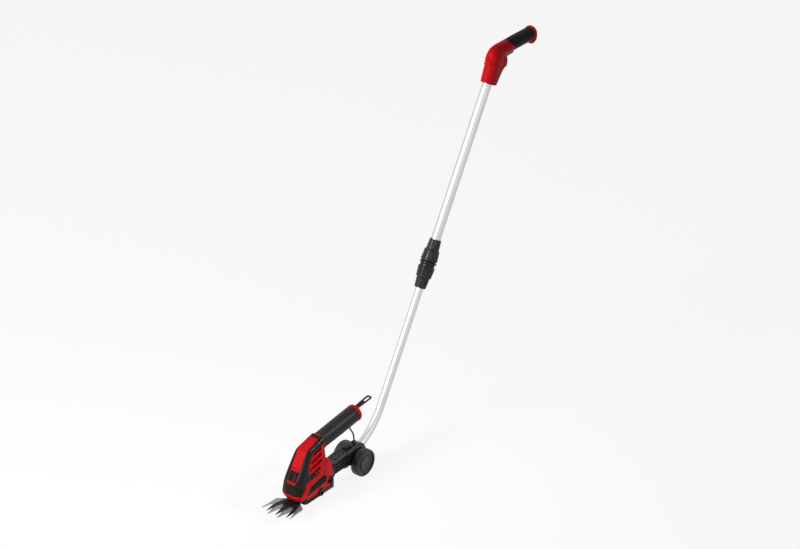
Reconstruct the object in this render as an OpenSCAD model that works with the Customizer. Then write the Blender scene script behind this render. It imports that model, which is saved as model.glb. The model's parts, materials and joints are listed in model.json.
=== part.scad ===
// Cordless grass shears on a two-wheeled carriage with a bent telescopic pole and pistol handle.
// Millimetres. The origin is the centre of the flat sole face.
// +X is the operator's left, -Y is forward over the blades, +Z is up.

/* [Blades] */
// Distance between neighbouring tooth tips
tooth_pitch = 26.7; // [24:0.1:28]
// How far the two inner lower teeth reach forward of the origin
blade_reach = 132; // [126:1:140]
// Thickness of each blade
blade_thick = 2; // [1.6:0.1:2.2]
// Resting angle of the upper blade, toward the operator's left
blade_rest = 3.6; // [0:0.1:5]

/* [Shears head and grip] */
// Half of the head's greatest width
body_half = 27; // [25.5:0.5:29]
// Wall of the moulded shells
wall = 2.2; // [1.8:0.1:2.6]
// Diameter of the soft grip
grip_d = 40; // [38.5:0.5:43]

/* [Carriage] */
// Diameter of the wheels
wheel_d = 65; // [60:1:72]
// Width of each wheel
wheel_w = 21; // [18:0.5:25]
// Diameter of the steel axle
axle_d = 8; // [6:0.5:9]

/* [Pole] */
// Outside diameter of the bent lower tube
lower_tube_d = 18; // [16.5:0.5:18.5]
// Outside diameter of the upper tube
upper_tube_d = 22; // [21.5:0.5:24]
// Wall of both tubes
tube_wall = 1; // [0.8:0.1:1.2]
// Radius of the bend above the carriage
bend_radius = 165; // [150:1:180]
// Straight length between the bend and the clamp
clamp_at = 280; // [240:5:320]
// Length of upper tube that shows above the clamp
upper_shows = 372; // [330:2:410]

/* [Fits] */
// Radial clearance of turning and sliding fits
run_gap = 0.06; // [0.03:0.01:0.09]
// Clearance between pieces that are seated on each other
seat_gap = 0.15; // [0.1:0.01:0.2]

/* [Hidden] */
$fn = 64;

sole_h = 14;
// steep nose, brow, front slope, break and roof of the head in the side view
nose_y = -69.2;
nose_z = 29.5;
brow_y = -64.6;
brow_z = 55.5;
break_y = -21.8;
break_z = 124;
nose_m = (brow_z - nose_z) / (brow_y - nose_y);
front_m = (break_z - brow_z) / (break_y - brow_y);
front_angle = atan(front_m);
roof_m = 0.24;
rear_y = 33;
dome_end = 66;
bezel_t = 1.75;
belt_t = 1.4;
// how far the corners of the nose lie behind its middle
nose_bow = 7.5;
// the line that cuts back the underside of the nose
chin = [[nose_y, 24], [-55, sole_h]];

// grip axis
grip_tilt = 5.5;
grip_y = 36;
grip_z = 119.7;
grip_r = grip_d / 2;
core_r = grip_r - 2.6;
core_in = core_r - 2.5;
grip_len = 123;
plug_a = grip_len - 16.5;

// drive
gear_y = -20;
gear_m = 0.8;
gear_teeth = 42;
pinion_teeth = 12;
gear_cd = gear_m * (gear_teeth + pinion_teeth) / 2 + 0.05;
motor_y = gear_y + gear_cd;
crank_e = 3.4;
crank_r = 2.5;
bolt_y = -42;
blade_z = 4;
upper_z = blade_z + blade_thick + seat_gap;
plate_z = 26.5;
plate_t = 3;
floor_z = sole_h + wall;

// carriage and pole
axle_y = 160;
axle_z = 12.5;
car_half = 15;
wheel_in = car_half + 1;
bend_y = 188.4;
bend_z = 39.2;
tube_low = 26;
tube_high = 60;
bend_cy = bend_y - bend_radius * sin(tube_low);
bend_cz = bend_z + bend_radius * cos(tube_low);
pole_y = bend_cy + bend_radius * sin(tube_high);
pole_z = bend_cz - bend_radius * cos(tube_high);
lower_r = lower_tube_d / 2;
upper_r = upper_tube_d / 2;
clamp_len = 115;
collar_at = clamp_at + clamp_len + upper_shows;
lower_top = clamp_at + clamp_len + 130;
hand_y = pole_y + collar_at * cos(tube_high);
hand_z = pole_z + collar_at * sin(tube_high);

// centre line of the short signal lead, as it runs with a grip of the length lead_grip
lead_r = 1.75;
lead_grip = 123;
lead_run = [[0, 144.2, 107], [0, 144.6, 103.5], [0, 146, 99], [0, 148.8, 94],
    [0, 152.2, 88.8], [0, 155.6, 83.4], [0, 158.4, 77.6], [0, 160.2, 71.4],
    [0, 160.9, 65], [0, 160.8, 59], [0, 160.2, 54], [0, 160, 47]];
// its upper end goes along with the plug when the grip is longer or shorter
lead_pts = [for (i = [0 : 11]) lead_run[i] + (grip_len - lead_grip) * max(0, min(1, (9 - i) / 8))
    * [0, cos(grip_tilt), sin(grip_tilt)]];

function lerp(a, b, t) = a + (b - a) * t;
function smin(a, b, k) = -k * ln(exp(-a / k) + exp(-b / k));
// points of a rounded corner at p between a and b, cut back by c
function corner(a, p, b, c, n) = [for (i = [0 : n - 1])
    let (t = i / (n - 1),
        s = p + (a - p) / norm(a - p) * min(c, norm(a - p) * 0.45),
        e = p + (b - p) / norm(b - p) * min(c, norm(b - p) * 0.45))
    s * (1 - t) * (1 - t) + p * 2 * t * (1 - t) + e * t * t];
function rounded(p, c, n) = [for (i = [0 : len(p) - 1])
    each corner(p[(i + len(p) - 1) % len(p)], p[i], p[(i + 1) % len(p)], c, n)];

// solid through a row of closed rings with equal point counts
module loft(rings) {
    n = len(rings[0]);
    m = len(rings);
    polyhedron(
        points = [for (r = rings) each r],
        faces = concat(
            [[for (i = [0 : n - 1]) i]],
            [for (k = [0 : m - 2], i = [0 : n - 1])
                let (a = k * n + i, b = k * n + (i + 1) % n) [a, a + n, b]],
            [for (k = [0 : m - 2], i = [0 : n - 1])
                let (a = k * n + i, b = k * n + (i + 1) % n) [b, a + n, b + n]],
            [[for (i = [n - 1 : -1 : 0]) (m - 1) * n + i]]),
        convexity = 8);
}

// extrudes a side view drawn in (y, z) across x
module side(x0, x1) {
    translate([x0, 0, 0])
        rotate([90, 0, 90])
            linear_extrude(x1 - x0)
                children();
}

module along_x(r, x0, x1) {
    translate([x0, 0, 0])
        rotate([0, 90, 0])
            cylinder(r = r, h = x1 - x0);
}

module half_space(s) {
    translate([s > 0 ? 0 : -300, -300, -200])
        cube([300, 1500, 1500]);
}

// grip frame: z runs back along the grip, y points down
module on_grip() {
    translate([0, grip_y, grip_z])
        rotate([grip_tilt - 90, 0, 0])
            children();
}

// front slope frame: y runs up the slope, z points out of it
module on_slope() {
    translate([0, brow_y, brow_z])
        rotate([front_angle, 0, 0])
            children();
}

// pole frame: z runs up the straight pole from the end of the bend
module on_pole() {
    translate([0, pole_y, pole_z])
        rotate([tube_high - 90, 0, 0])
            children();
}

// upper handle frame: origin at the foot of the handle collar, axes as the world
module on_hand() {
    translate([0, hand_y, hand_z])
        children();
}

function head_w(z) = z < nose_z
    ? lerp(body_half - 2, body_half, (z - sole_h) / (nose_z - sole_h))
    : body_half - 9 * (z - nose_z) / (break_z - nose_z);
function plan(y) = y < -50 ? 1 - 0.075 * pow((y + 50) / 19.2, 2) : 1;
// height of a straight stretch of the outline through (y0, z0) with slope m, moved out by d
function stretch(y, y0, z0, m, d) = z0 + m * (y - y0) + d * sqrt(1 + m * m);
function roof_z(y, d) = smin(
    smin(stretch(y, nose_y, nose_z, nose_m, d), stretch(y, brow_y, brow_z, front_m, d), 5),
    stretch(y, break_y, break_z, roof_m, d), 3);
// how far a point lies behind the middle of its section: nothing on the flat, then more to the corners
function bow(x, y) = nose_bow * max(0, x * x - 100) / (body_half * body_half - 100)
    * pow(max(0, min(1, (break_y - y) / 45)), 1.5);
function mirrored(h, y) = concat([for (p = h) [-p[0], y + bow(p[0], y), p[1]]],
    [for (i = [len(h) - 1 : -1 : 0]) [h[i][0], y + bow(h[i][0], y), h[i][1]]]);
// half of a section, from its lower corner up the side and in over the top
function half(wb, zb, wm, zm, wt, zt, c) = concat(corner([-wb, zb], [wb, zb], [wm, zm], 2.5, 3), [[wm, zm]],
    corner([wm, zm], [wt, zt], [-wt, zt], c, 5), [[min(0.42 * wt, 0.8 * (wt - c)), zt]]);
function head_half(y, d) = let (zb = sole_h - d, zt = roof_z(y, d), zm = min(nose_z, (zb + zt) / 2))
    half(head_w(zb) * plan(y) + d, zb, head_w(zm) * plan(y) + d, zm, head_w(zt) * plan(y) + d, zt, 5);
function head_ring(y, d) = mirrored(head_half(y, d), y);
// shrunken rings that close a bowed section
function bowed_end(y, d) = let (h = head_half(y, d), zc = (h[0][1] + h[len(h) - 1][1]) / 2)
    [for (k = [0.1, 0.6]) mirrored([for (p = h) [p[0] * k, zc + (p[1] - zc) * k]], y)];
function dome_e(y) = sqrt(max(0, 1 - pow((y - 30) / 38, 2)));
function dome_w(y) = 14 + (body_half - 17) * dome_e(y);
function dome_ring(y, d) = let (w = dome_w(y) + d, e = dome_e(y))
    mirrored(half(w - 2, sole_h - d + 3 * (1 - e), w, 32, w - 3, 40 + 39 * e + d, 9), y);

head_ys = [nose_y, -67.4, -65, -62, -57, -48, -38, -30, -25, -21, -16, -8, 24, rear_y];
dome_ys = [rear_y + 0.4, 42, 50, 57, 62, dome_end];
plate_ys = [-48, -38, -30, -25, -21, 24, rear_y];

// everything under the chin line, for a surface moved out by d
module below_chin(d) {
    u = (chin[1] - chin[0]) / norm(chin[1] - chin[0]);
    n = [u[1], -u[0]];
    side(-60, 60)
        polygon([chin[0] - 20 * u + d * n, chin[1] + 20 * u + d * n, chin[1] + 20 * u + (d + 40) * n,
            chin[0] - 20 * u + (d + 40) * n]);
}

// station y of the head with its surface moved out by d, and its rear end at rear
function station(y, d, rear) = y < -60 ? lerp(-60, nose_y - d, (y + 60) / (nose_y + 60)) : min(y, rear);

// head of the shears with its surface moved out by d
module head(d) {
    difference() {
        loft(concat(bowed_end(nose_y - d, d),
            [for (y = head_ys) head_ring(station(y, d, rear_y + d), d)],
            [for (y = dome_ys) dome_ring(y + d, d)]));
        below_chin(d);
    }
}

// the same surface without the dome, for the belt and the skins that lie on it
module front(d, rear, ys) {
    loft(concat(bowed_end(station(ys[0], d, rear), d),
        [for (y = ys) head_ring(y < rear_y ? station(y, d, rear) : rear, d)]));
}

module skin(d0, d1, ys) {
    difference() {
        front(d1, rear_y, ys);
        front(d0, rear_y + 1, ys);
    }
}

shoulder = [[-75, 26], [-61, 26.5], [-37.7, 52.5], [24, 53], [45, 53.5]];
screw_at = [[-40, 35], [26.2, 88], [41, 46]];
// front end, rear end and foot of each louvre, the foot measured at vent_y
vents = [[-25, 13, 62], [-23.5, 20, 76.5], [-16.5, 20, 91], [-10.5, 20.5, 105.5]];
vent_y = -13;
vent_rise = 0.178;
vent_h = 6;
// the belt's skirt laps over the sole, between these heights and ends
skirt_z = 7.6;
skirt_y = [-40, 44];
skirt_x = body_half - 2.25;

function screw_w(p) = p[0] > rear_y ? dome_w(p[0]) - 1.8 : head_w(p[1]) * plan(p[0]);

// hollow head and grip core, open where pieces sit in them
module shell() {
    difference() {
        union() {
            head(0);
            // raised belt below the shoulder line
            intersection() {
                difference() {
                    front(belt_t, rear_y, head_ys);
                    below_chin(belt_t);
                }
                side(-60, 60)
                    polygon(concat([[-75, sole_h]], shoulder, [[45, sole_h]]));
            }
            for (s = [0, 1])
                mirror([s, 0, 0])
                    translate([skirt_x, skirt_y[0], skirt_z])
                        cube([1.4, skirt_y[1] - skirt_y[0], sole_h + 1 - skirt_z]);
            on_grip()
                translate([0, 0, -6])
                    cylinder(r = core_r, h = grip_len + 5);
            on_grip()
                translate([0, 0, 0.5])
                    cylinder(r = grip_r + 0.3, h = 2.9);
        }
        head(-wall);
        on_grip()
            translate([0, 0, -9])
                cylinder(r = core_in, h = grip_len + 20);
        // louvres
        for (v = vents, s = [-1, 1])
            let (z0 = v[2] + (v[0] - vent_y) * vent_rise, z1 = v[2] + (v[1] - vent_y) * vent_rise)
            side(s > 0 ? 8 : -40, s > 0 ? 40 : -8)
                polygon([[v[0], z0], [v[1], z1], [v[1], z1 + vent_h], [v[0] + 1.5, z0 + vent_h]]);
        // crank opening in the floor
        translate([0, gear_y, sole_h - 2])
            cylinder(r = 9.5, h = wall + 4);
        // socket for the carriage
        side(-car_half - seat_gap + 0.5, car_half + seat_gap - 0.5)
            polygon([[44, floor_z + 0.15], [70, floor_z + 0.15], [70, 45.8 + seat_gap], [44, 43.2 + seat_gap]]);
        // trigger slot and lead socket
        on_grip() {
            translate([-5.3, 8, 14.6])
                cube([10.6, 14, 20.8]);
            translate([0, 8, plug_a])
                rotate([-90, 0, 0])
                    cylinder(r = 4.5 + seat_gap, h = 14);
        }
    }
}

module housing() {
    difference() {
        union() {
            shell();
            // screw posts
            for (p = screw_at)
                translate([0, p[0], p[1]])
                    along_x(4.4, -screw_w(p) + 1, screw_w(p) - 0.8);
            // ribs that hold the switch, and the seat of the trigger spring
            on_grip() {
                for (a = [22.5, 30], s = [0, 1])
                    mirror([s, 0, 0])
                        translate([3.2 + seat_gap, -3, a])
                            cube([core_in - 2.4, 6, 3]);
                translate([-core_in - 0.6, -6, 15])
                    cube([2 * core_in + 1.2, 3, 5]);
            }
        }
        for (p = screw_at)
            translate([0, p[0], p[1]]) {
                along_x(3.3, -60, -screw_w(p) + 1.6);
                along_x(1.5 + run_gap, -60, 11);
            }
    }
}

module left_housing() {
    color("#c41f24")
        intersection() {
            housing();
            half_space(1);
        }
}

module right_housing() {
    color("#c41f24")
        intersection() {
            housing();
            half_space(-1);
        }
}

// window of the bezel over the slope and the roof, narrowed by g on every side
module window(g) {
    intersection() {
        linear_extrude(170)
            polygon(rounded([[12.2 - g, -80], [13.2 - g, break_y - 1], [11.5 - g, 21 - g], [g - 11.5, 21 - g],
                [g - 13.2, break_y - 1], [g - 12.2, -80]], 4, 4));
        on_slope()
            translate([-20, g - 1, -30])
                cube([40, 170, 90]);
    }
}

module front_bezel() {
    rear = rear_y - 0.5;
    color("#3c3838")
        difference() {
            intersection() {
                skin(seat_gap, bezel_t, head_ys);
                side(-60, 60)
                    polygon([[-80, nose_z - 0.6], [-62, nose_z - 0.6], [-60, nose_z - 1], [-37.7, 53.5],
                        [8, 58], [-27, 63], [-29.5, 79], [-22, 99], [-10, 114.5], [rear, break_z - 1.5],
                        [rear, break_z + 40], [-80, break_z + 40]]);
            }
            window(0);
        }
}

module top_panel() {
    color("#c41f24")
        difference() {
            intersection() {
                skin(seat_gap, bezel_t + 0.5, head_ys);
                window(seat_gap);
            }
            // bed of the slider
            on_slope()
                translate([-10, slider_at - 0.5, -3])
                    cube([20, 31, 12]);
        }
}

// lower end of the slider, up the slope from the brow
slider_at = 5.5;

module blade_release() {
    color("#242224")
        on_slope()
            translate([0, slider_at, 0])
                side(-9.6, 9.6)
                    polygon(concat([[2, 5.5], [0, 3.6], [0, 0.5], [24, 0.5], [24, 2.6], [21.1, 5.5]],
                        [for (k = [0 : 3]) each [[19.9 - 4 * k, 5.5], [19.9 - 4 * k, 4.7], [18.3 - 4 * k, 4.7],
                            [18.3 - 4 * k, 5.5]]]));
}

module side_plate(s) {
    color("#1d1c1e")
        intersection() {
            skin(belt_t + seat_gap, belt_t + 0.9, plate_ys);
            side(s > 0 ? 0 : -60, s > 0 ? 60 : 0)
                polygon(rounded([[-40, 23.5], [-27, 38.5], [25, 47.5], [rear_y - 2.5, 40], [28, 29.5],
                    [-35, 20]], 3, 4));
        }
}

module left_side_plate() {
    side_plate(1);
}

module right_side_plate() {
    side_plate(-1);
}

module grip_sleeve() {
    color("#3a3133")
        on_grip()
            difference() {
                rotate_extrude()
                    polygon([[core_r + run_gap, 3.6], [grip_r - 0.9, 3.6], [grip_r - 0.4, 5], [grip_r - 0.3, 30],
                        [grip_r, 60], [grip_r, grip_len - 28], [grip_r - 0.1, grip_len - 8],
                        [grip_r - 0.6, grip_len - 0.4], [core_r + run_gap, grip_len - 0.4]]);
                translate([-5.3, 8, 14.6])
                    cube([10.6, 14, 20.8]);
                translate([0, 8, plug_a])
                    rotate([-90, 0, 0])
                        cylinder(r = 4.5 + seat_gap, h = 14);
            }
}

// half width of the loop's strap, and its place above the grip's centre line
loop_w = 5.5;
loop_y = -10;

module end_collar() {
    color("#c41f24")
        on_grip()
            translate([0, 0, grip_len - 0.1])
                difference() {
                    union() {
                        rotate_extrude()
                            polygon([[0, 0], [grip_r + 0.3, 0], [grip_r + 0.3, 5.6], [grip_r - 1, 8.1], [0, 8.7]]);
                        translate([0, 0, -8.9])
                            cylinder(r = core_in - seat_gap, h = 10);
                    }
                    translate([-loop_w - seat_gap, loop_y - 2.5 - seat_gap, -3.9])
                        cube([2 * (loop_w + seat_gap), 5 + 2 * seat_gap, 20]);
                    translate([0, 0, -10.9])
                        cylinder(r = core_in - 3, h = 6);
                }
}

module hang_loop() {
    color("#1d1c1e")
        on_grip()
            translate([0, loop_y, grip_len - 3.8]) {
                translate([-loop_w, -2.5, 0])
                    cube([2 * loop_w, 5, 32.6]);
                for (s = [-1, 1])
                    translate([s * 5.2, 0, 30])
                        cylinder(r = 1.9, h = 29);
                translate([0, 0, 59])
                    rotate([90, 0, 0])
                        rotate_extrude(angle = 180)
                            translate([5.2, 0])
                                circle(1.9);
            }
}

module trigger() {
    color("#1d1c1e")
        on_grip() {
            translate([-5, 11, 15])
                cube([10, 8, 20]);
            translate([-5, 18.5, 15])
                rotate([0, 90, 0])
                    linear_extrude(10)
                        polygon([[0, 0], [-20, 0], [-20, 3], [-16, 4.2], [-8, 3.4], [-3, 4.6], [0, 3.6]]);
            translate([-7, 8.5, 14])
                cube([14, 3, 22]);
        }
}

module trigger_switch() {
    color("#2a2a2e")
        on_grip()
            translate([-3.2, -5, 21])
                cube([6.4, 10.2, 14]);
}

module battery_cell() {
    color("#4f7f9a")
        on_grip()
            translate([0, core_in - 9.2 - 0.3, 37.6]) {
                cylinder(r = 9.2, h = grip_len - 59);
                translate([0, 0, -0.9])
                    cylinder(r = 3, h = 2);
            }
}

module circuit_board() {
    color("#2f5c3a")
        on_grip()
            translate([-8, core_in - 18.4 - 0.6 - 1.6, 40])
                cube([16, 1.6, grip_len - 63]);
}

module lead_socket() {
    color("#1d1c1e")
        on_grip()
            translate([0, 9, plug_a])
                rotate([-90, 0, 0])
                    difference() {
                        cylinder(r = 4.5, h = grip_r - 9.4);
                        translate([0, 0, 2])
                            cylinder(r = 2.5 + run_gap, h = 12);
                    }
}

module motor() {
    color("#8f9296")
        translate([0, motor_y, plate_z + plate_t])
            difference() {
                union() {
                    cylinder(r = 14, h = 38);
                    translate([0, 0, -plate_t + 0.2])
                        cylinder(r = 5, h = plate_t);
                    translate([0, 0, 38])
                        cylinder(r = 5, h = 3);
                }
                translate([0, 0, -plate_t])
                    cylinder(r = 1.15 + run_gap, h = 14);
            }
}

function inv(a) = tan(a) * 180 / PI - a;
// involute gear outline, thinned by 0.16 mm a tooth
function gear_pts(n, m) = let (rp = n * m / 2, rb = rp * cos(25), ra = rp + 0.9 * m, rr = rp - 1.15 * m,
        hp = 90 / n - 0.08 / rp * 180 / PI, r1 = max(rr, rb) + 0.01,
        rs = [rr, r1, lerp(r1, ra, 0.3), lerp(r1, ra, 0.65), ra],
        hs = [for (r = rs) hp + inv(25) - (r > rb ? inv(acos(rb / r)) : 0)])
    [for (k = [0 : n - 1]) each concat(
        [for (i = [0 : 4]) let (a = k * 360 / n - hs[i]) rs[i] * [cos(a), sin(a)]],
        [for (i = [4 : -1 : 0]) let (a = k * 360 / n + hs[i]) rs[i] * [cos(a), sin(a)]])];

module motor_pinion() {
    color("#b08d3e")
        translate([0, motor_y, 0])
            union() {
                translate([0, 0, 17.6])
                    linear_extrude(6.8)
                        rotate(-90 + 180 / pinion_teeth)
                            polygon(gear_pts(pinion_teeth, gear_m));
                translate([0, 0, 18])
                    cylinder(r = 1.15, h = 20);
            }
}

module drive_gear() {
    color("#d9d2c0")
        translate([0, gear_y, 0])
            difference() {
                union() {
                    translate([0, 0, 18])
                        linear_extrude(6)
                            rotate(90)
                                polygon(gear_pts(gear_teeth, gear_m));
                    translate([0, 0, 15])
                        cylinder(r = 7.5, h = 3.2);
                    rotate(66)
                        translate([-crank_e, 0, upper_z + 0.2])
                            cylinder(r = crank_r, h = 15.5 - upper_z);
                }
                translate([0, 0, 17.8])
                    cylinder(r = 2 + run_gap, h = 10);
            }
}

module gear_pin() {
    color("#a9abad")
        translate([0, gear_y, 18.1])
            cylinder(r = 2, h = plate_z + plate_t - 18.1);
}

module gear_frame() {
    color("#55504e")
        difference() {
            union() {
                translate([-20, -40, plate_z])
                    cube([40, 62, plate_t]);
                for (x = [-17.5, 17.5], y = [-37.5, 19])
                    translate([x, y, floor_z])
                        cylinder(r = 2.6, h = plate_z - floor_z + 1);
            }
            translate([0, gear_y, plate_z - 2])
                cylinder(r = 2 + 0.02, h = plate_t + 4);
            translate([0, motor_y, plate_z - 2])
                cylinder(r = 5 + seat_gap, h = plate_t + 4);
        }
}

module sole_plate() {
    w = body_half + 0.5;
    tab_x = w - 3;
    color("#3c3838")
        difference() {
            union() {
                difference() {
                    linear_extrude(sole_h)
                        polygon(rounded([[w, 57], [-w, 57], [-w, -47], [w, -47]], 10, 7));
                    // the belt's skirt laps over the edges
                    for (s = [0, 1])
                        mirror([s, 0, 0])
                            translate([skirt_x - seat_gap, skirt_y[0] - 0.5, skirt_z - seat_gap])
                                cube([10, skirt_y[1] - skirt_y[0] + 1, sole_h]);
                }
                for (s = [0, 1])
                    mirror([s, 0, 0]) {
                        translate([w - 0.8, 6, 0])
                            cube([3.2, 8, 10]);
                        translate([tab_x, 46, 0])
                            cube([3.2, 8, 30]);
                    }
            }
            // bay for the blade roots, open to the front
            translate([-21, -60, blade_z])
                cube([42, 55, 20]);
            // pockets that lighten the rear half
            for (s = [-1, 1])
                translate([s * 12 - 9, 4, blade_z])
                    cube([18, 34, 20]);
            translate([0, bolt_y, 1.5])
                cylinder(r = 3 + 0.02, h = 10);
        }
    // posts that locate the lower blade
    color("#3c3838")
        for (s = [-1, 1])
            translate([s * 13, bolt_y + 3, blade_z - 0.5])
                cylinder(r = 2, h = blade_thick + 0.3);
}

function lower_outline() = let (p = tooth_pitch / 2, t = blade_reach, g = blade_reach - 37)
    [[17.5, -12], [17.5, -53], [20, -56], [3 * p - 2, -70], [3 * p - 1.6, -t + 42], [3 * p, -t + 12],
        [2 * p + 5.5, -g + 1], [2 * p + 2, -g + 5], [2 * p - 1.5, -g + 5], [2 * p - 4.4, -g + 1], [p, -t],
        [4.6, -g], [1.8, -g + 4.5], [-1.8, -g + 4.5], [-4.6, -g], [-p, -t],
        [-2 * p + 4.4, -g + 1], [-2 * p + 1.5, -g + 5], [-2 * p - 2, -g + 5], [-2 * p - 5.5, -g + 1],
        [-3 * p, -t + 12], [-3 * p + 1.6, -t + 42], [-3 * p + 2, -70], [-20, -56], [-17.5, -53], [-17.5, -12]];

module lower_blade() {
    color("#828080")
        translate([0, 0, blade_z])
            linear_extrude(blade_thick)
                difference() {
                    polygon(lower_outline());
                    translate([0, bolt_y])
                        circle(3 + 0.02);
                    for (s = [-1, 1])
                        translate([s * 13, bolt_y + 3])
                            circle(2 + 0.05);
                }
}

// upper blade about its pivot, before its resting turn
function upper_outline() = let (p = tooth_pitch, t = blade_reach - 3 + bolt_y, g = t - 43)
    [[13, 28.5], [13, 6], [14, -4], [19, -14], [21.5, -20], [p + 0.8, -g], [p + 2.4, -g - 12], [p, -t + 4],
        [p - 6, -g - 10], [p - 7.2, -g - 2], [p - 10, -g + 3], [p - 14, -g + 4], [p - 17.2, -g + 2], [6.8, -g - 4],
        [5, -g - 14], [0, -t],
        [-5, -g - 14], [-6.8, -g - 4], [-p + 17.2, -g + 2], [-p + 14, -g + 4], [-p + 10, -g + 3],
        [-p + 7.2, -g - 2], [-p + 6, -g - 10], [-p, -t + 4], [-p - 2.4, -g - 12], [-p - 0.8, -g],
        [-21.5, -20], [-19, -14], [-14, -4], [-13, 6], [-13, 28.5],
        [-9.8, 28.5], [-9.8, 15], [-7, 12.2], [7, 12.2], [9.8, 15], [9.8, 28.5]];

module upper_blade() {
    color("#2d2a2d")
        translate([0, bolt_y, upper_z])
            rotate(blade_rest)
                linear_extrude(blade_thick)
                    difference() {
                        polygon(upper_outline());
                        circle(3 + run_gap);
                    }
}

module blade_bolt() {
    color("#a9abad")
        translate([0, bolt_y, 1.7]) {
            cylinder(r = 3, h = upper_z + blade_thick + 1);
            translate([0, 0, upper_z + blade_thick + 0.3 - 1.7])
                cylinder(r = 6.5, h = 2.6);
        }
}

module housing_screws() {
    color("#8a8c8e")
        for (p = screw_at)
            translate([0, p[0], p[1]]) {
                along_x(1.5, -screw_w(p) + 1, 10);
                along_x(3, -screw_w(p) - 0.6, -screw_w(p) + 1.6);
            }
}

car_screws = [[104, 31], [130, 26], [176, 14]];

module carriage() {
    difference() {
        intersection() {
            side(-car_half, car_half)
                polygon([[124, 17.5], [124, 51.5], [168, 51.5], [179, 47], [186, 33], [180, 10], [170, -1],
                    [158, -3], [146, 0], [136, 9]]);
            // bevelled along its top edges
            translate([0, 190, 0])
                rotate([90, 0, 0])
                    linear_extrude(70)
                        polygon([[-car_half, -10], [car_half, -10], [car_half, 46.5], [car_half - 5, 51.5],
                            [5 - car_half, 51.5], [-car_half, 46.5]]);
        }
        // bore for the bent tube
        translate([0, bend_y, bend_z])
            rotate([tube_low - 90, 0, 0])
                translate([0, 0, -26 - 1])
                    cylinder(r = lower_r + 0.02, h = 80);
        translate([0, axle_y, axle_z])
            along_x(axle_d / 2 + 0.02, -40, 40);
        // latch pocket
        translate([-8.3, 127, 33])
            cube([16.6, 19.6, 26]);
        translate([0, axle_y, 44])
            cylinder(r = lead_r + 0.35, h = 10);
        translate([0, axle_y, 49])
            cylinder(r = 4.5 + seat_gap, h = 10);
        for (p = car_screws)
            translate([0, p[0], p[1]]) {
                along_x(1.6 + run_gap, -40, 10.2);
                along_x(3.4, -40, -car_half + 2.6);
            }
    }
    difference() {
        side(-car_half + 0.5, car_half - 0.5)
            polygon([[48, floor_z + 0.3], [124, 17.5], [124, 51.5], [48, 43.6]]);
        for (s = [-1, 1], k = [0 : 2])
            side(s > 0 ? car_half - 3.5 : -car_half, s > 0 ? car_half : -car_half + 3.5)
                polygon([[64, 20.5 + 8 * k], [120, 22.5 + 8.8 * k], [120, 27.5 + 8.8 * k], [64, 25 + 8 * k]]);
        // cored underside
        translate([-9, 60, 10])
            cube([18, 34, 26]);
        for (y = [86, 100, 113], x = [-6, 6])
            translate([x, y, 42])
                cylinder(r = 1.6, h = 20);
        for (p = car_screws)
            translate([0, p[0], p[1]]) {
                along_x(1.6 + run_gap, -40, 10.2);
                along_x(3.4, -40, -car_half + 2.6);
            }
    }
    // flange that stops the adapter against the dome
    side(-car_half - 2.5, car_half + 2.5)
        polygon([[dome_end + 0.4, floor_z], [dome_end + 4.4, floor_z], [dome_end + 4.4, 48.6],
            [dome_end + 0.4, 48]]);
}

module left_carriage() {
    color("#1f1e20")
        intersection() {
            carriage();
            half_space(1);
        }
}

module right_carriage() {
    color("#1f1e20")
        intersection() {
            carriage();
            half_space(-1);
        }
}

module latch_button() {
    color("#1f1e20")
        translate([0, 136.8, 43])
            linear_extrude(12.2)
                polygon(rounded([[8, 9.4], [-8, 9.4], [-8, -9.4], [8, -9.4]], 1.5, 4));
}

module axle() {
    color("#a9abad")
        translate([0, axle_y, axle_z])
            along_x(axle_d / 2, -wheel_in - wheel_w + 5.5, wheel_in + wheel_w - 5.5);
}

module wheel(s) {
    r = wheel_d / 2;
    w = wheel_w;
    color("#1b1b1d")
        translate([s * wheel_in, axle_y, axle_z])
            rotate([0, s * 90, 0])
                rotate_extrude($fn = 96)
                    polygon([[axle_d / 2 + run_gap, 0], [r - 3, 0], [r - 0.6, 1.6], [r, 4], [r, w - 4],
                        [r - 1, w - 1.2], [r - 3, w], [r - 5.5, w], [r - 6.5, w - 2.4], [r - 13, w - 2.4],
                        [r - 13.6, w - 0.9], [r - 15, w - 0.9], [r - 15, w - 5], [9.6, w - 5], [9.6, w - 8],
                        [axle_d / 2 + run_gap, w - 8]]);
}

module left_wheel() {
    wheel(1);
}

module right_wheel() {
    wheel(-1);
}

module hub_cap(s) {
    r = wheel_d / 2 - 15 - seat_gap;
    color("#1b1b1d")
        translate([s * (wheel_in + wheel_w), axle_y, axle_z])
            rotate([0, s * 90, 0])
                rotate_extrude()
                    polygon([[0, -3.4], [9.4, -3.4], [9.4, -4.9], [r, -4.9], [r, -1.2], [r - 1, -0.7], [0, -0.5]]);
}

module left_hub_cap() {
    hub_cap(1);
}

module right_hub_cap() {
    hub_cap(-1);
}

module axle_clips() {
    color("#a9abad")
        for (s = [-1, 1])
            translate([s * (wheel_in + wheel_w - 7.6), axle_y, axle_z])
                rotate([0, s * 90, 0])
                    difference() {
                        cylinder(r = 8, h = 1.2);
                        translate([0, 0, -1])
                            cylinder(r = axle_d / 2 + 0.02, h = 4);
                    }
}

module carriage_screws() {
    color("#8a8c8e")
        for (p = car_screws)
            translate([0, p[0], p[1]]) {
                along_x(1.6, -car_half + 2, 10);
                along_x(3.1, -car_half + 0.9, -car_half + 2.6);
            }
}

// round tube along a row of points in the middle plane
function sweep_ring(p, i, r, n) = let (
        d = p[min(i + 1, len(p) - 1)] - p[max(i - 1, 0)], t = d / norm(d), b = cross([1, 0, 0], t))
    [for (k = [0 : n - 1]) p[i] + r * (cos(360 * k / n) * [1, 0, 0] + sin(360 * k / n) * b)];

module signal_lead() {
    color("#161618")
        loft([for (i = [len(lead_pts) - 1 : -1 : 0]) sweep_ring(lead_pts, i, lead_r, 8)]);
}

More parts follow.
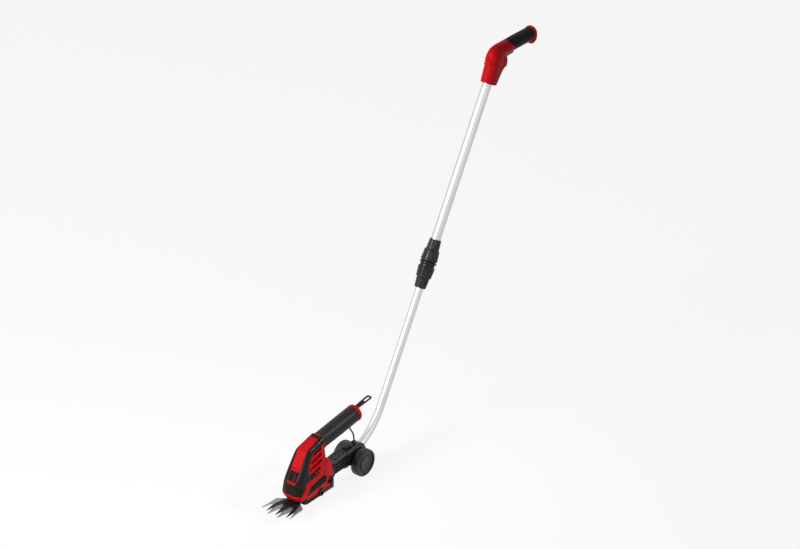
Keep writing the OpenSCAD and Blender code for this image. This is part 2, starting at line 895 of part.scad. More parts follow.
module lead_plug() {
    color("#161618")
        on_grip()
            translate([0, 0, plug_a])
                rotate([-90, 0, 0])
                    difference() {
                        union() {
                            translate([0, 0, 12])
                                cylinder(r = 2.5, h = grip_r - 11);
                            translate([0, 0, grip_r + 0.5])
                                cylinder(r1 = 4, r2 = 3, h = 4.5);
                        }
                        translate([0, 0, grip_r + 1.5])
                            cylinder(r = lead_r + 0.3, h = 8);
                    }
}

module lead_grommet() {
    color("#161618")
        translate([0, axle_y, 49])
            difference() {
                union() {
                    cylinder(r = 4.5, h = 3.2);
                    translate([0, 0, 3])
                        cylinder(r1 = 4.5, r2 = 3.2, h = 4.5);
                }
                translate([0, 0, -1])
                    cylinder(r = lead_r + 0.6, h = 12);
            }
}

module lower_tube() {
    r = lower_r;
    q = lower_r - tube_wall;
    color("#d9d7d6") {
        translate([0, bend_y, bend_z])
            rotate([tube_low - 90, 0, 0])
                translate([0, 0, -26])
                    difference() {
                        cylinder(r = r, h = 26.5);
                        translate([0, 0, -1])
                            cylinder(r = q, h = 29);
                    }
        translate([0, bend_cy, bend_cz])
            rotate([90, 0, 90])
                rotate([0, 0, tube_low - 90])
                    rotate_extrude(angle = tube_high - tube_low, $fn = 128)
                        translate([bend_radius, 0])
                            difference() {
                                circle(r - 0.02);
                                circle(q + 0.02);
                            }
        on_pole()
            difference() {
                translate([0, 0, -0.5])
                    cylinder(r = r, h = lower_top + 0.5);
                translate([0, 0, -1])
                    cylinder(r = q, h = lower_top + 2);
            }
    }
}

module guide_bush() {
    color("#2a2a2c")
        on_pole()
            translate([0, 0, lower_top - 24])
                difference() {
                    cylinder(r = upper_r - tube_wall - run_gap, h = 24);
                    translate([0, 0, -1])
                        cylinder(r = lower_r + 0.02, h = 26);
                }
}

module clamp_nut() {
    color("#1f1e20")
        on_pole()
            translate([0, 0, clamp_at])
                difference() {
                    rotate_extrude($fn = 96)
                        polygon([[lower_r + 0.4, 0], [13.2, 0], [15, 24.5], [17.5, 25.5], [19.5, 49.5], [18, 51],
                            [18, 56.8], [14.2, 56.8], [14.2, 22], [lower_r + 0.4, 19]]);
                    for (k = [0 : 11])
                        rotate(30 * k)
                            translate([21.6, 0, 27.5])
                                cylinder(r = 3, h = 20);
                }
}

module clamp_collar() {
    color("#1f1e20")
        on_pole()
            translate([0, 0, clamp_at])
                difference() {
                    rotate_extrude($fn = 96)
                        polygon([[upper_r + 0.02, 62], [upper_r + 0.02, clamp_len], [13.2, clamp_len], [15, 90.5],
                            [17.5, 89.5], [19.5, 65.5], [18, 64], [18, 62.4], [19.5, 61.6], [19.5, 58.4], [18, 57.2],
                            [14.2, 57.2], [14.2, 62]]);
                    for (k = [0 : 11])
                        rotate(30 * k)
                            translate([21.6, 0, 67.5])
                                cylinder(r = 3, h = 20);
                }
}

module clamp_collet() {
    color("#3a3a3c")
        on_pole()
            translate([0, 0, clamp_at + 23])
                difference() {
                    cylinder(r1 = 12.6, r2 = 13.9, h = 39);
                    translate([0, 0, -1])
                        cylinder(r = lower_r + run_gap, h = 41);
                    for (k = [0 : 2])
                        rotate(60 * k)
                            translate([-20, -0.6, -1])
                                cube([40, 1.2, 24]);
                }
}

module upper_tube() {
    color("#d9d7d6")
        on_pole()
            translate([0, 0, clamp_at + 62])
                difference() {
                    cylinder(r = upper_r, h = clamp_len - 62 + upper_shows + 40);
                    translate([0, 0, -1])
                        cylinder(r = upper_r - tube_wall, h = clamp_len + upper_shows + 60);
                }
}

// upper handle, relative to the foot of its collar: front point, back point, half width
hand_rows = [
    [-14.3, 8.3, 14.3, -8.2, 16.5], [-7, 24.9, 25.5, 6.1, 16.5], [1, 42.9, 38, 21.5, 16.3],
    [5.2, 53, 45, 26.5, 16.1], [6.5, 56.5, 50.4, 28.5, 16], [9.5, 62.5, 52.6, 35, 15.9],
    [13, 72.5, 57.5, 46.5, 15.6], [20, 80, 62.5, 48, 15.3], [34, 82.5, 68, 48.2, 15.2],
    [52, 81, 76, 47.6, 15.2], [68, 79.5, 93, 46.4, 15.1]];
// soft grip behind the slanted edge of the hard body
hand_grip = [[68.4, 78, 93.4, 47.9, 13.7], [100, 76.2, 112, 46.6, 13.7], [149, 71.9, 146.5, 43.3, 13.7]];
hand_end = [[149.6, 75.6, 147, 32, 15.6], [152, 76, 149.5, 31.4, 16.2], [160.5, 74, 158, 34.5, 16],
    [163.5, 71, 160.8, 38, 14]];

function hand_ring(r, d) = let (f = [r[0], r[1]], b = [r[2], r[3]], c = (f + b) / 2,
        h = (f - b) / 2 * (1 + 2 * d / norm(f - b)), w = r[4] + d)
    [for (k = [0 : 27]) let (a = 360 * k / 28, s = sign(cos(a)) * pow(abs(cos(a)), 0.86),
            x = sign(sin(a)) * pow(abs(sin(a)), 0.86))
        [w * x, c[0] + h[0] * s, c[1] + h[1] * s]];

hand_screws = [[38, 66], [104, 61], [140, 58]];

module handle() {
    difference() {
        union() {
            difference() {
                loft([for (r = concat(hand_rows, hand_grip, hand_end)) hand_ring(r, 0)]);
                loft([for (r = concat([for (i = [6 : 10]) hand_rows[i]], hand_grip)) hand_ring(r, -wall)]);
            }
            for (p = hand_screws)
                translate([0, p[0], p[1]])
                    along_x(4.2, -12.6, 12.6);
            for (s = [0, 1])
                mirror([s, 0, 0])
                    translate([3 + seat_gap, 80, 57])
                        cube([11, 4, 5]);
            translate([-14, 68.5, 64])
                cube([28, 5, 3]);
        }
        rotate([tube_high - 90, 0, 0])
            translate([0, 0, -2])
                cylinder(r = upper_r + 0.02, h = 42.3);
        translate([-4.3, 66.6, 30])
            cube([8.6, 25, 22.5]);
        for (p = hand_screws)
            translate([0, p[0], p[1]]) {
                along_x(1.5 + run_gap, -40, 9.2);
                along_x(3.2, -40, -10.4);
            }
    }
}

module left_handle() {
    color("#c41f24")
        on_hand()
            intersection() {
                handle();
                half_space(1);
            }
}

module right_handle() {
    color("#c41f24")
        on_hand()
            intersection() {
                handle();
                half_space(-1);
            }
}

module handle_grip() {
    color("#232123")
        on_hand()
            difference() {
                intersection() {
                    loft([for (r = concat([hand_grip[0] + [0.5, 0, 0.5, 0, 0]], [hand_grip[1], hand_grip[2]]))
                        hand_ring(r, 1.5)]);
                    translate([-40, 60, 0])
                        cube([80, 87.8, 120]);
                }
                loft([for (r = hand_grip) hand_ring(r, seat_gap)]);
                translate([-3, 60, 30])
                    cube([6, 120, 22]);
                for (k = [-3 : 9])
                    translate([-7, 101 + 4.4 * k, 76.6 - 0.39 * k])
                        cube([14, 2, 4]);
            }
}

module handle_trigger() {
    color("#1d1c1e")
        on_hand()
            side(-4, 4)
                polygon([[67.2, 53], [64.6, 53], [64.6, 50.7], [67.2, 50.7], [67.2, 42], [70, 39.4], [78, 40.6],
                    [86, 39.2], [91.2, 42.5], [91.2, 50.7], [93.4, 50.7], [93.4, 53]]);
}

module handle_switch() {
    color("#2a2a2e")
        on_hand()
            translate([-3, 75.5, 56.6])
                cube([6, 14, 9]);
}

module handle_screws() {
    color("#8a8c8e")
        on_hand()
            for (p = hand_screws)
                translate([0, p[0], p[1]]) {
                    along_x(1.5, -11, 9);
                    along_x(2.9, -12.4, -10.4);
                }
}

// coil spring standing on z = 0
module coil(r, wire, turns, h) {
    n = turns * 10;
    color("#9a9c9e")
        loft([for (i = [0 : n]) let (a = 36 * i)
            [for (k = [0 : 5]) let (q = r + wire * cos(60 * k))
                [q * cos(a), q * sin(a), wire + (h - 2 * wire) * i / n - wire * sin(60 * k)]]]);
}

module trigger_spring() {
    on_grip()
        translate([0, -2.9, 17.5])
            rotate([-90, 0, 0])
                coil(2.2, 0.4, 5, 11.2);
}

module latch_spring() {
    translate([0, 136.8, 33.1])
        coil(4, 0.5, 4, 9.8);
}

module handle_spring() {
    on_hand()
        translate([0, 71, 53.1])
            coil(2.2, 0.4, 5, 10.8);
}

left_housing();
right_housing();
front_bezel();
top_panel();
blade_release();
left_side_plate();
right_side_plate();
grip_sleeve();
end_collar();
hang_loop();
trigger();
trigger_switch();
battery_cell();
circuit_board();
lead_socket();
motor();
motor_pinion();
drive_gear();
gear_pin();
gear_frame();
sole_plate();
lower_blade();
upper_blade();
blade_bolt();
housing_screws();
left_carriage();
right_carriage();
latch_button();
axle();
left_wheel();
right_wheel();
left_hub_cap();
right_hub_cap();
axle_clips();
carriage_screws();
signal_lead();
lead_plug();
lead_grommet();
lower_tube();
guide_bush();
clamp_nut();
clamp_collar();
clamp_collet();
upper_tube();
left_handle();
right_handle();
handle_grip();
handle_trigger();
handle_switch();
handle_screws();
trigger_spring();
latch_spring();
handle_spring();
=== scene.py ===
"""Cordless grass shears on a wheeled carriage with a telescopic pole, dressed for rendering.

Sizes are millimetres unless a name says otherwise. Meshes are written in metres, in the part's
frame: x to the operator's left, y from the blades back to the handle, z up.
"""
import json
import math

import bmesh
import bpy
import numpy as np
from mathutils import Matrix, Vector

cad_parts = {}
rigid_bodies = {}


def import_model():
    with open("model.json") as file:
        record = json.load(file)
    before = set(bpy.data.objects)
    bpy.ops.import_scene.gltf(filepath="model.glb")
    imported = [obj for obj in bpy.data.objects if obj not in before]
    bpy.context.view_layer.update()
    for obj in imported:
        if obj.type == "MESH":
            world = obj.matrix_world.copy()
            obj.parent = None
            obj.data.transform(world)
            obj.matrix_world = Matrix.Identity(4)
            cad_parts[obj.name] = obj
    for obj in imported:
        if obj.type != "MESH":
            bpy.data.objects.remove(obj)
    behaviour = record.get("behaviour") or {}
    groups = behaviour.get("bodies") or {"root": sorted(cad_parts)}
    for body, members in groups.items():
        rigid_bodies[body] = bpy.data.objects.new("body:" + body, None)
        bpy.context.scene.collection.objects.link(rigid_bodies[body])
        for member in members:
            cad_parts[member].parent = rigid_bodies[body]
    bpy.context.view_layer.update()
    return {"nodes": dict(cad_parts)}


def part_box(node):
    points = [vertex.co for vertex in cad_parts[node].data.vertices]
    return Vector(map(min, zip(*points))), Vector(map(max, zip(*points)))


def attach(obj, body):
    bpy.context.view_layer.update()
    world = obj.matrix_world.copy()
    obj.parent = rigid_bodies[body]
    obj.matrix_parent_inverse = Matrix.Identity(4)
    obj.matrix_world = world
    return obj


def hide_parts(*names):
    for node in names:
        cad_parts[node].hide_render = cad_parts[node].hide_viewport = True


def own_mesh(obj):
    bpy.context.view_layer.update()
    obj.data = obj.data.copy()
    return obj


for leftover in list(bpy.data.objects):
    bpy.data.objects.remove(leftover)
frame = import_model()
nodes = frame["nodes"]
MM = 0.001


# The stage: a white floor where the wheels stand, a large soft lamp in front on the operator's
# right, a weak one on the left, a narrow one behind for the edges, and even light from all round.
class Socket:
    """A value in a node tree. Operators on it add Math nodes, and node() adds any other node."""

    def __init__(self, tree, out):
        self.tree = tree
        self.out = out

    def node(self, kind, settings=None, inputs=None, output=0):
        """Adds a node, applies its settings, then fills its sockets with values or links."""
        made = self.tree.nodes.new(kind)
        for key, value in (settings or {}).items():
            setattr(made, key, value)
        feed(made, inputs or {})
        return Socket(self.tree, made.outputs[output])

    def math(self, operation, *others):
        """Adds a Math node on this value and the others, in that order."""
        inputs = dict(enumerate((self, *others)))
        return self.node("ShaderNodeMath", {"operation": operation}, inputs)

    def __mul__(self, other):
        return self.math("MULTIPLY", other)

    def __rsub__(self, other):
        return (self * -1.0).math("ADD", other)

    __rmul__ = __mul__

    def between(self, low, high, first=0.0, last=1.0):
        """The value carried from low..high to first..last, held at both ends."""
        inputs = {"From Min": low, "From Max": high, "To Min": first, "To Max": last, "Value": self}
        return self.node("ShaderNodeMapRange", {"interpolation_type": "SMOOTHSTEP"}, inputs)

    def noise(self, size_mm, detail=2.0, stretch=(1, 1, 1)):
        """Noise whose lumps are about size_mm across, drawn out by stretch along each axis."""
        scale = [1 / s for s in stretch]
        drawn = self.node("ShaderNodeMapping", {}, {"Vector": self, "Scale": scale})
        inputs = {"Vector": drawn, "Scale": 1 / (size_mm * MM), "Detail": detail}
        return self.node("ShaderNodeTexNoise", {}, inputs)

    def mix(self, first, second):
        """A colour that goes from first to second as this value goes from 0 to 1."""
        inputs = {0: self, 6: first, 7: second}
        return self.node("ShaderNodeMix", {"data_type": "RGBA"}, inputs, 2)


def feed(shader, values):
    """Fills a node's sockets with values or links."""
    for key, value in values.items():
        if isinstance(value, Socket):
            value.tree.links.new(value.out, shader.inputs[key])
        else:
            shader.inputs[key].default_value = value


def stacked(*parts):
    """Coordinates spread to one shape and put together, as grids of points are."""
    return np.stack(np.broadcast_arrays(*parts), -1)


MERGE_M = 2e-6


def surface(name, points, around=False, along=False, away_from=None, keep=None):
    """A mesh through rows and columns of points. around closes every row on itself and along joins
    the last row to the first. Points that coincide are merged, and faces point outwards, or away
    from a given point on an open sheet. keep says which cells of the grid are there."""
    rows, cols = points.shape[:2]
    i = np.arange(rows if along else rows - 1)[:, None]
    j = np.arange(cols if around else cols - 1)[None, :]
    i2, j2 = (i + 1) % rows, (j + 1) % cols
    quads = stacked(i * cols + j, i * cols + j2, i2 * cols + j2, i2 * cols + j)
    quads = quads.reshape(-1, 4) if keep is None else quads[keep]
    used, quads = np.unique(quads, return_inverse=True)
    spots = points.reshape(-1, 3)[used] * MM
    mesh = bpy.data.meshes.new(name)
    mesh.from_pydata(spots.tolist(), [], quads.reshape(-1, 4).tolist())
    work = bmesh.new()
    work.from_mesh(mesh)
    bmesh.ops.remove_doubles(work, verts=work.verts, dist=MERGE_M)
    bmesh.ops.dissolve_degenerate(work, edges=work.edges, dist=MERGE_M / 20)
    if away_from is None:
        bmesh.ops.recalc_face_normals(work, faces=work.faces)
    else:
        middle = Vector(away_from) * MM
        facing = sum(f.normal.dot(f.calc_center_median() - middle) * f.calc_area()
                     for f in work.faces)
        if facing < 0:
            bmesh.ops.reverse_faces(work, faces=work.faces)
    work.to_mesh(mesh)
    work.free()
    mesh.polygons.foreach_set("use_smooth", np.ones(len(mesh.polygons), bool))
    mesh.set_sharp_from_angle(angle=math.radians(42))
    return mesh


def place(name, mesh, material):
    """Links a mesh to the scene as an object at the origin with that material."""
    piece = bpy.data.objects.new(name, mesh)
    mesh.materials.append(material)
    bpy.context.scene.collection.objects.link(piece)
    return piece


def build(name, points, material, **how):
    """Makes a surface through a grid of points, and places it."""
    return place(name, surface(name, points, **how), material)


FLOOR_REACH, FLOOR_GAP, FLOOR_GLOW = 9000, 0.05, 0.86
WHITE = (1, 1, 1, 1)
floor_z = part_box("left_wheel")[0].z / MM - FLOOR_GAP
floor_xy = np.linspace(-FLOOR_REACH, FLOOR_REACH, 3)
floor_grid = stacked(floor_xy[:, None], floor_xy[None, :], floor_z)
floor_finish = bpy.data.materials.new("studio_floor")
floor_finish.use_nodes = True
floor_tree = floor_finish.node_tree
floor_tree.nodes.clear()
floor_paint = Socket(floor_tree, floor_tree.nodes.new("ShaderNodeBsdfDiffuse").outputs[0])
feed(floor_paint.out.node, {"Color": (0.93, 0.93, 0.93, 1)})
seen = floor_paint.node("ShaderNodeLightPath", output="Is Camera Ray")
glossy = Socket(floor_tree, seen.out.node.outputs["Is Glossy Ray"])
through = Socket(floor_tree, seen.out.node.outputs["Is Transmission Ray"])
glow = floor_paint.node("ShaderNodeEmission", {}, {"Color": WHITE, "Strength": 1.0})
whiten = seen.math("MAXIMUM", glossy).math("MAXIMUM", through) * FLOOR_GLOW
floor_mix = floor_paint.node("ShaderNodeMixShader", {}, {0: whiten, 1: floor_paint, 2: glow})
feed(floor_tree.nodes.new("ShaderNodeOutputMaterial"), {"Surface": floor_mix})
floor = build("studio_floor", floor_grid, floor_finish, away_from=(0, 0, -1e5))

WORLD_FILL = 0.24
world = bpy.data.worlds.new("studio_light")
bpy.context.scene.world = world
world.use_nodes = True
sky = Socket(world.node_tree, world.node_tree.nodes["Background"].outputs[0])
sky_path = sky.node("ShaderNodeLightPath", output="Is Camera Ray")
sky_glossy = Socket(world.node_tree, sky_path.out.node.outputs["Is Glossy Ray"])
sky_seen = sky_path.math("MAXIMUM", sky_glossy)
feed(sky.out.node, {"Color": WHITE, "Strength": sky_seen.between(0, 1, WORLD_FILL, 1.0)})


def lamp(name, spot, aim, size, watts, beam=180):
    """A square area lamp at a spot, turned to an aim, in metres. beam is its spread in degrees."""
    data = bpy.data.lights.new(name, "AREA")
    data.size = size
    data.energy = watts
    data.spread = math.radians(beam)
    made = bpy.data.objects.new(name, data)
    made.location = spot
    made.rotation_euler = (Vector(aim) - Vector(spot)).to_track_quat("-Z", "Y").to_euler()
    bpy.context.scene.collection.objects.link(made)


lamp("key_lamp", (-0.8, -2.4, 1.9), aim=(0, 0.3, 0.35), size=1.1, watts=92)
lamp("fill_lamp", (2.2, -0.4, 1.2), aim=(0, 0.3, 0.35), size=1.4, watts=2.5)
lamp("edge_lamp", (1.9, 1.4, 2.0), aim=(0, 0, 0.1), size=0.22, watts=0.75, beam=26)

# The camera stands far off in front and to the operator's left with a long lens, as the photograph
# was taken: almost without perspective. One millimetre is 0.445 pixels at the middle of the tool.
VIEW_SIDE = math.radians(38.5)
VIEW_UP = math.radians(32)
VIEW_AIM = Vector((-63.6, 407.3, 353.0)) * MM
VIEW_DISTANCE_M = 50.0
PIXELS_PER_MM = 0.445
IMAGE_WIDTH = 800
SENSOR_WIDTH = 36
back = Vector((math.sin(VIEW_SIDE) * math.cos(VIEW_UP), -math.cos(VIEW_SIDE) * math.cos(VIEW_UP),
               math.sin(VIEW_UP)))
camera_data = bpy.data.cameras.new("camera")
camera_data.sensor_width = SENSOR_WIDTH
camera_data.lens = PIXELS_PER_MM / MM * VIEW_DISTANCE_M * SENSOR_WIDTH / IMAGE_WIDTH
camera_data.clip_end = 4 * VIEW_DISTANCE_M
camera = bpy.data.objects.new("camera", camera_data)
camera.location = VIEW_AIM + back * VIEW_DISTANCE_M
camera.rotation_euler = (-back).to_track_quat("-Z", "Y").to_euler()
bpy.context.scene.collection.objects.link(camera)
bpy.context.scene.camera = camera
bpy.context.scene.view_settings.view_transform = "Standard"


# The signal lead: a thin round rubber lead, plugged into the underside of the grip and let into the
# carriage through a grommet. It bows back a little under its own stiffness.
def curve_through(points, steps):
    """Catmull-Rom curve through the points, with that many steps between neighbours."""
    p = np.asarray(points, float)
    p = np.vstack([2 * p[0] - p[1], p, 2 * p[-1] - p[-2]])
    t = np.arange(steps)[None, :, None] / steps
    a, b, c, d = (p[k:len(p) - 3 + k, None] for k in range(4))
    bent = 0.5 * (2 * b + (c - a) * t + (2 * a - 5 * b + 4 * c - d) * t**2
                  + (3 * b - a - 3 * c + d) * t**3)
    return np.vstack([bent.reshape(-1, p.shape[1]), p[-2]])


def unit(vectors):
    """Vectors brought to length one."""
    return vectors / np.linalg.norm(vectors, axis=-1)[..., None]


def full_turn(sides):
    """Angles all the way round, for columns of points."""
    return np.linspace(0, 2 * math.pi, sides, endpoint=False)[None, :, None]


ACROSS = np.array([1.0, 0, 0])


def sweep(path, radius, sides):
    """Rings of a round tube along a path that lies in a plane x = constant: x across, and the cross
    product of x and the path's direction as the other way out."""
    out = np.cross(ACROSS, unit(np.gradient(path, axis=0)))
    turn = full_turn(sides)
    return path[:, None] + radius * (np.cos(turn) * ACROSS + np.sin(turn) * out[:, None])


def capped(rings):
    """Rings with a point added in the middle of the first and the last, so that the ends close."""
    ends = [np.repeat(r.mean(0)[None], rings.shape[1], 0)[None] for r in (rings[0], rings[-1])]
    return np.concatenate([ends[0], rings, ends[1]])


def new_finish(name):
    """A new material, its shader, and the place on the piece, which its patterns read."""
    material = bpy.data.materials.new(name)
    material.use_nodes = True
    tree = material.node_tree
    spot = Socket(tree, tree.nodes.new("ShaderNodeTexCoord").outputs["Object"])
    return material, tree.nodes["Principled BSDF"], spot


def moulded(name, colour, roughness, grain=0.5, relief=0.03, cloud=0.1, shine=0.15):
    """Moulded plastic: fine eroded grain in the bump, a slow cloudiness in the colour, and gloss
    that is a little uneven where hands have rubbed it. shine is how much light the skin throws
    back."""
    material, shader, spot = new_finish(name)
    clouds = spot.noise(size_mm=28, detail=3)
    fine = spot.noise(grain, detail=2)
    rubbed = spot.noise(size_mm=9, detail=4)
    dark = [c * (1 - cloud) for c in colour] + [1]
    light = [min(1, c * (1 + cloud)) for c in colour] + [1]
    bump = spot.node("ShaderNodeBump", {},
                     {"Strength": 0.6, "Distance": relief * MM, "Height": fine})
    feed(shader, {"Base Color": clouds.between(0.3, 0.7).mix(dark, light), "Normal": bump,
                  "Roughness": rubbed.between(0.25, 0.75, roughness - 0.05, roughness + 0.07),
                  "Specular IOR Level": shine})
    return material


LEAD_POINTS = [[0, 144.2, 107], [0, 144.6, 103.5], [0, 146, 99], [0, 148.8, 94], [0, 152.2, 88.8],
               [0, 155.6, 83.4], [0, 158.4, 77.6], [0, 160.2, 71.4], [0, 160.9, 65], [0, 160.8, 59],
               [0, 160.2, 54], [0, 160, 47]]
LEAD_D = 3.5
ROOT = "shears_and_carriage"
lead_path = curve_through(LEAD_POINTS, 4)
lead_rubber = moulded("lead_rubber", (0.012, 0.012, 0.013), 0.55, grain=0.3, relief=0.01)
lead_rings = capped(sweep(lead_path, LEAD_D / 2, 16))
lead = build("signal_lead_cord", lead_rings, lead_rubber, around=True)
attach(lead, ROOT)
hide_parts("signal_lead")


# The blades: two stamped steel combs on the sole. The lower one is bare ground steel, the upper one
# is coated black and ground bright again along its cutting edges.
def metal(name, colour, roughness, lines=(1, 1, 1), line_mm=0.5, relief=0.004, tarnish=0.12):
    """Bare metal: grinding or drawing lines as noise drawn out along one axis, in the gloss and the
    bump, and a slow tarnish in the colour."""
    material, shader, spot = new_finish(name)
    grind = spot.noise(line_mm, 3, lines)
    stain = spot.noise(size_mm=22, detail=3)
    dark = [c * (1 - tarnish) for c in colour] + [1]
    bump = spot.node("ShaderNodeBump", {},
                     {"Strength": 0.5, "Distance": relief * MM, "Height": grind})
    feed(shader, {"Base Color": stain.between(0.3, 0.7).mix(dark, [*colour, 1]), "Metallic": 1.0,
                  "Roughness": grind.between(0.25, 0.75, roughness - 0.06, roughness + 0.08),
                  "Normal": bump})
    return material


def dress(names, material, edge):
    """Gives CAD nodes a material, and breaks their sharp edges by that many millimetres."""
    for name in names:
        piece = nodes[name]
        piece.data.materials.clear()
        piece.data.materials.append(material)
        smooth = np.ones(len(piece.data.polygons), bool)
        piece.data.polygons.foreach_set("use_smooth", smooth)
        weld = piece.modifiers.new("weld", "WELD")
        weld.merge_threshold = MERGE_M
        bevel = piece.modifiers.new("edge", "BEVEL")
        bevel.width = edge * MM
        bevel.segments = 2
        bevel.limit_method = "ANGLE"
        bevel.angle_limit = math.radians(35)
        bevel.harden_normals = True


blade_steel = metal("blade_steel", (0.34, 0.335, 0.34), 0.5, lines=(30, 1, 1), line_mm=0.4,
                    relief=0.001)
dress(["lower_blade"], blade_steel, 0.15)

GROUND_EDGE = (0.16, 0.16, 0.165, 1)
coated_blade = moulded("coated_blade", (0.010, 0.009, 0.010), 0.36, grain=0.2, relief=0.006,
                       cloud=0.2)
coat_tree = coated_blade.node_tree
coat_shader = coat_tree.nodes["Principled BSDF"]
coat_normal = Socket(coat_tree, coat_tree.nodes.new("ShaderNodeTexCoord").outputs["Normal"])
facing_up = coat_normal.node("ShaderNodeSeparateXYZ", {}, {0: coat_normal}, "Z").math("ABSOLUTE")
bare_edge = 1 - facing_up.between(0.2, 0.5)
coat_colour = Socket(coat_tree, coat_shader.inputs["Base Color"].links[0].from_socket)
feed(coat_shader, {"Base Color": bare_edge.mix(coat_colour, GROUND_EDGE), "Metallic": bare_edge})
dress(["upper_blade"], coated_blade, 0.2)

# The sole plate and blade bolt: glass-filled black plastic under the head that carries the lower
# blade, and the turned steel bolt that both blades hang on.
sole_plastic = moulded("sole_plastic", (0.012, 0.011, 0.011), 0.38, relief=0.02, shine=0.2)
dress(["sole_plate"], sole_plastic, 0.7)
zinc_steel = metal("zinc_steel", (0.62, 0.62, 0.63), 0.3, tarnish=0.2)
dress(["blade_bolt", "gear_pin"], zinc_steel, 0.2)

# The drive inside the head: a can motor with a brass pinion turns a nylon crank gear, all on a
# moulded frame. None of it shows while the head is closed.
frame_plastic = moulded("frame_plastic", (0.10, 0.10, 0.105), 0.5)
DRIVE_FINISHES = {
    "motor": metal("motor_steel", (0.50, 0.50, 0.51), 0.34, lines=(1, 1, 20)),
    "motor_pinion": metal("pinion_brass", (0.72, 0.52, 0.22), 0.3),
    "drive_gear": moulded("gear_nylon", (0.78, 0.76, 0.68), 0.42, grain=0.8, relief=0.02),
    "gear_frame": frame_plastic}
for drive_node, drive_finish in DRIVE_FINISHES.items():
    dress([drive_node], drive_finish, 0.15)


# The head housing: two red moulded shells, screwed together on the middle plane. Each has a raised
# belt below its shoulder, four open louvres, and a rounded dome behind over the adapter.
SIDES = (("left", 1), ("right", -1))
SOLE_H, REAR_Y, REAR_ROUND, BODY_HALF = 14.0, 33.0, 3, 27.0
NOSE_Y, NOSE_Z, BROW_Y, BROW_Z, BREAK_Y, BREAK_Z = -69.2, 29.5, -64.6, 55.5, -21.8, 124.0
NOSE_RISE = (BROW_Z - NOSE_Z) / (BROW_Y - NOSE_Y)
SLOPE_RISE = (BREAK_Z - BROW_Z) / (BREAK_Y - BROW_Y)
ROOF_RISE = 0.24
BROW_EASE, BREAK_EASE = 5, 3
CORNER, CHIN_Z, CHIN_FALL = 5.0, 24.5, 1.5
NOSE_BOW, BOW_FLAT, BOW_FADE = 7.5, 10, 45
SOLE_IN, SIDE_LEAN = 2, 9
PLAN_FROM, PLAN_REACH, PLAN_IN = -50, 19.2, 0.075
FINE_ROWS_TO = -60
BELT_T, BEZEL_T, SHELL_T = 1.4, 1.75, 2.0


def roof(y):
    """Height of the head's upper outline at y: the lowest of three lines, the steep nose, the front
    slope and the roof, blended over one length at the brow and over another at the break."""
    nose = NOSE_Z + NOSE_RISE * (y - NOSE_Y)
    slope = BROW_Z + SLOPE_RISE * (y - BROW_Y)
    flat = BREAK_Z + ROOF_RISE * (y - BREAK_Y)
    front = -BROW_EASE * np.logaddexp(-nose / BROW_EASE, -slope / BROW_EASE)
    return -BREAK_EASE * np.logaddexp(-front / BREAK_EASE, -flat / BREAK_EASE)


def bowed(x, y):
    """How far a point lies behind the middle of its section: none on the flat middle, then growing
    with the square of x, fully at the nose and fading out at the break."""
    curl = np.maximum(0, x**2 - BOW_FLAT**2)
    fade = np.clip((BREAK_Y - y) / BOW_FADE, 0, 1)**1.5
    return NOSE_BOW * curl / (BODY_HALF**2 - BOW_FLAT**2) * fade


def half_section(y, low, knee, top, cut, start=None, side_steps=150, across=None):
    """Half cross-sections, one row for each y. Columns run from the middle of the bottom out round
    the lower corner, up the side through the knee, over the chamfer at the top and in to the
    middle. low, knee and top are pairs of half width and height. With start, columns begin on the
    side there."""
    pairs = [[np.broadcast_to(v, y.shape) for v in pair] for pair in (low, knee, top)]
    (wb, zb), (wk, zk), (wt, zt) = pairs
    cut = np.minimum(cut, 0.45 * np.minimum(zt - zk, wt))
    ease, blunt = 2.5, 0.3

    def side(z):
        lower = wb + (wk - wb) * (z - zb) / np.maximum(zk - zb, 0.1)
        return np.where(z < zk, lower, wk + (wt - wk) * (z - zk) / (zt - zk))

    xs, zs = [], []
    if start is None:
        start = np.minimum(zb + ease, zt - cut - 1)
        floor_at = np.array([[0, 0.3, 0.7, 1.5, 5, 10, 16, 22]]) / 22
        xs.append(floor_at * (wb - ease))
        zs.append(np.repeat(zb, floor_at.shape[1], 1))
        t = np.array([0.2, 0.4, 0.6, 0.8])[None]
        xs.append((1 - t)**2 * (wb - ease) + 2 * t * (1 - t) * wb + t**2 * side(start))
        zs.append((1 - t)**2 * zb + 2 * t * (1 - t) * zb + t**2 * start)
    z = start + (zt - cut - start) * np.linspace(0, 1, side_steps)[None]
    xs.append(side(z))
    zs.append(z)
    t = np.linspace(0, 1, 9)[None, 1:-1]
    edge = side(zt - cut)
    xs.append((1 - t) * edge + t * (wt - cut) + blunt * t * (1 - t) * (wt + cut - edge))
    zs.append((1 - t) * (zt - cut) + t * zt + blunt * t * (1 - t) * cut)
    across = np.array([[40, 14, 10, 7, 4, 1.5, 0.7, 0.3, 0]]) if across is None else across
    xs.append(np.minimum(across, wt - cut))
    zs.append(np.repeat(zt, across.shape[1], 1))
    x, z = np.hstack(xs), np.hstack(zs)
    return np.stack([x, y + bowed(x, y), z], -1)


def head_section(y, **more):
    """Half cross-sections of the head: straight sides leaning in above the nose, narrowed a little
    in plan at the nose, with the underside of the nose cut back to the chin."""
    zt = roof(y)
    zb = np.maximum(SOLE_H, CHIN_Z - (y - NOSE_Y) * CHIN_FALL)
    zk = np.minimum(NOSE_Z, (zb + zt) / 2)
    plan = np.where(y < PLAN_FROM, 1 - PLAN_IN * ((y - PLAN_FROM) / PLAN_REACH)**2, 1)

    def width(z):
        below = BODY_HALF - SOLE_IN + SOLE_IN * (z - SOLE_H) / (NOSE_Z - SOLE_H)
        above = BODY_HALF - SIDE_LEAN * (z - NOSE_Z) / (BREAK_Z - NOSE_Z)
        return np.where(z < NOSE_Z, below, above) * plan

    return half_section(y, (width(zb), zb), (width(zk), zk), (width(zt), zt), CORNER, **more)


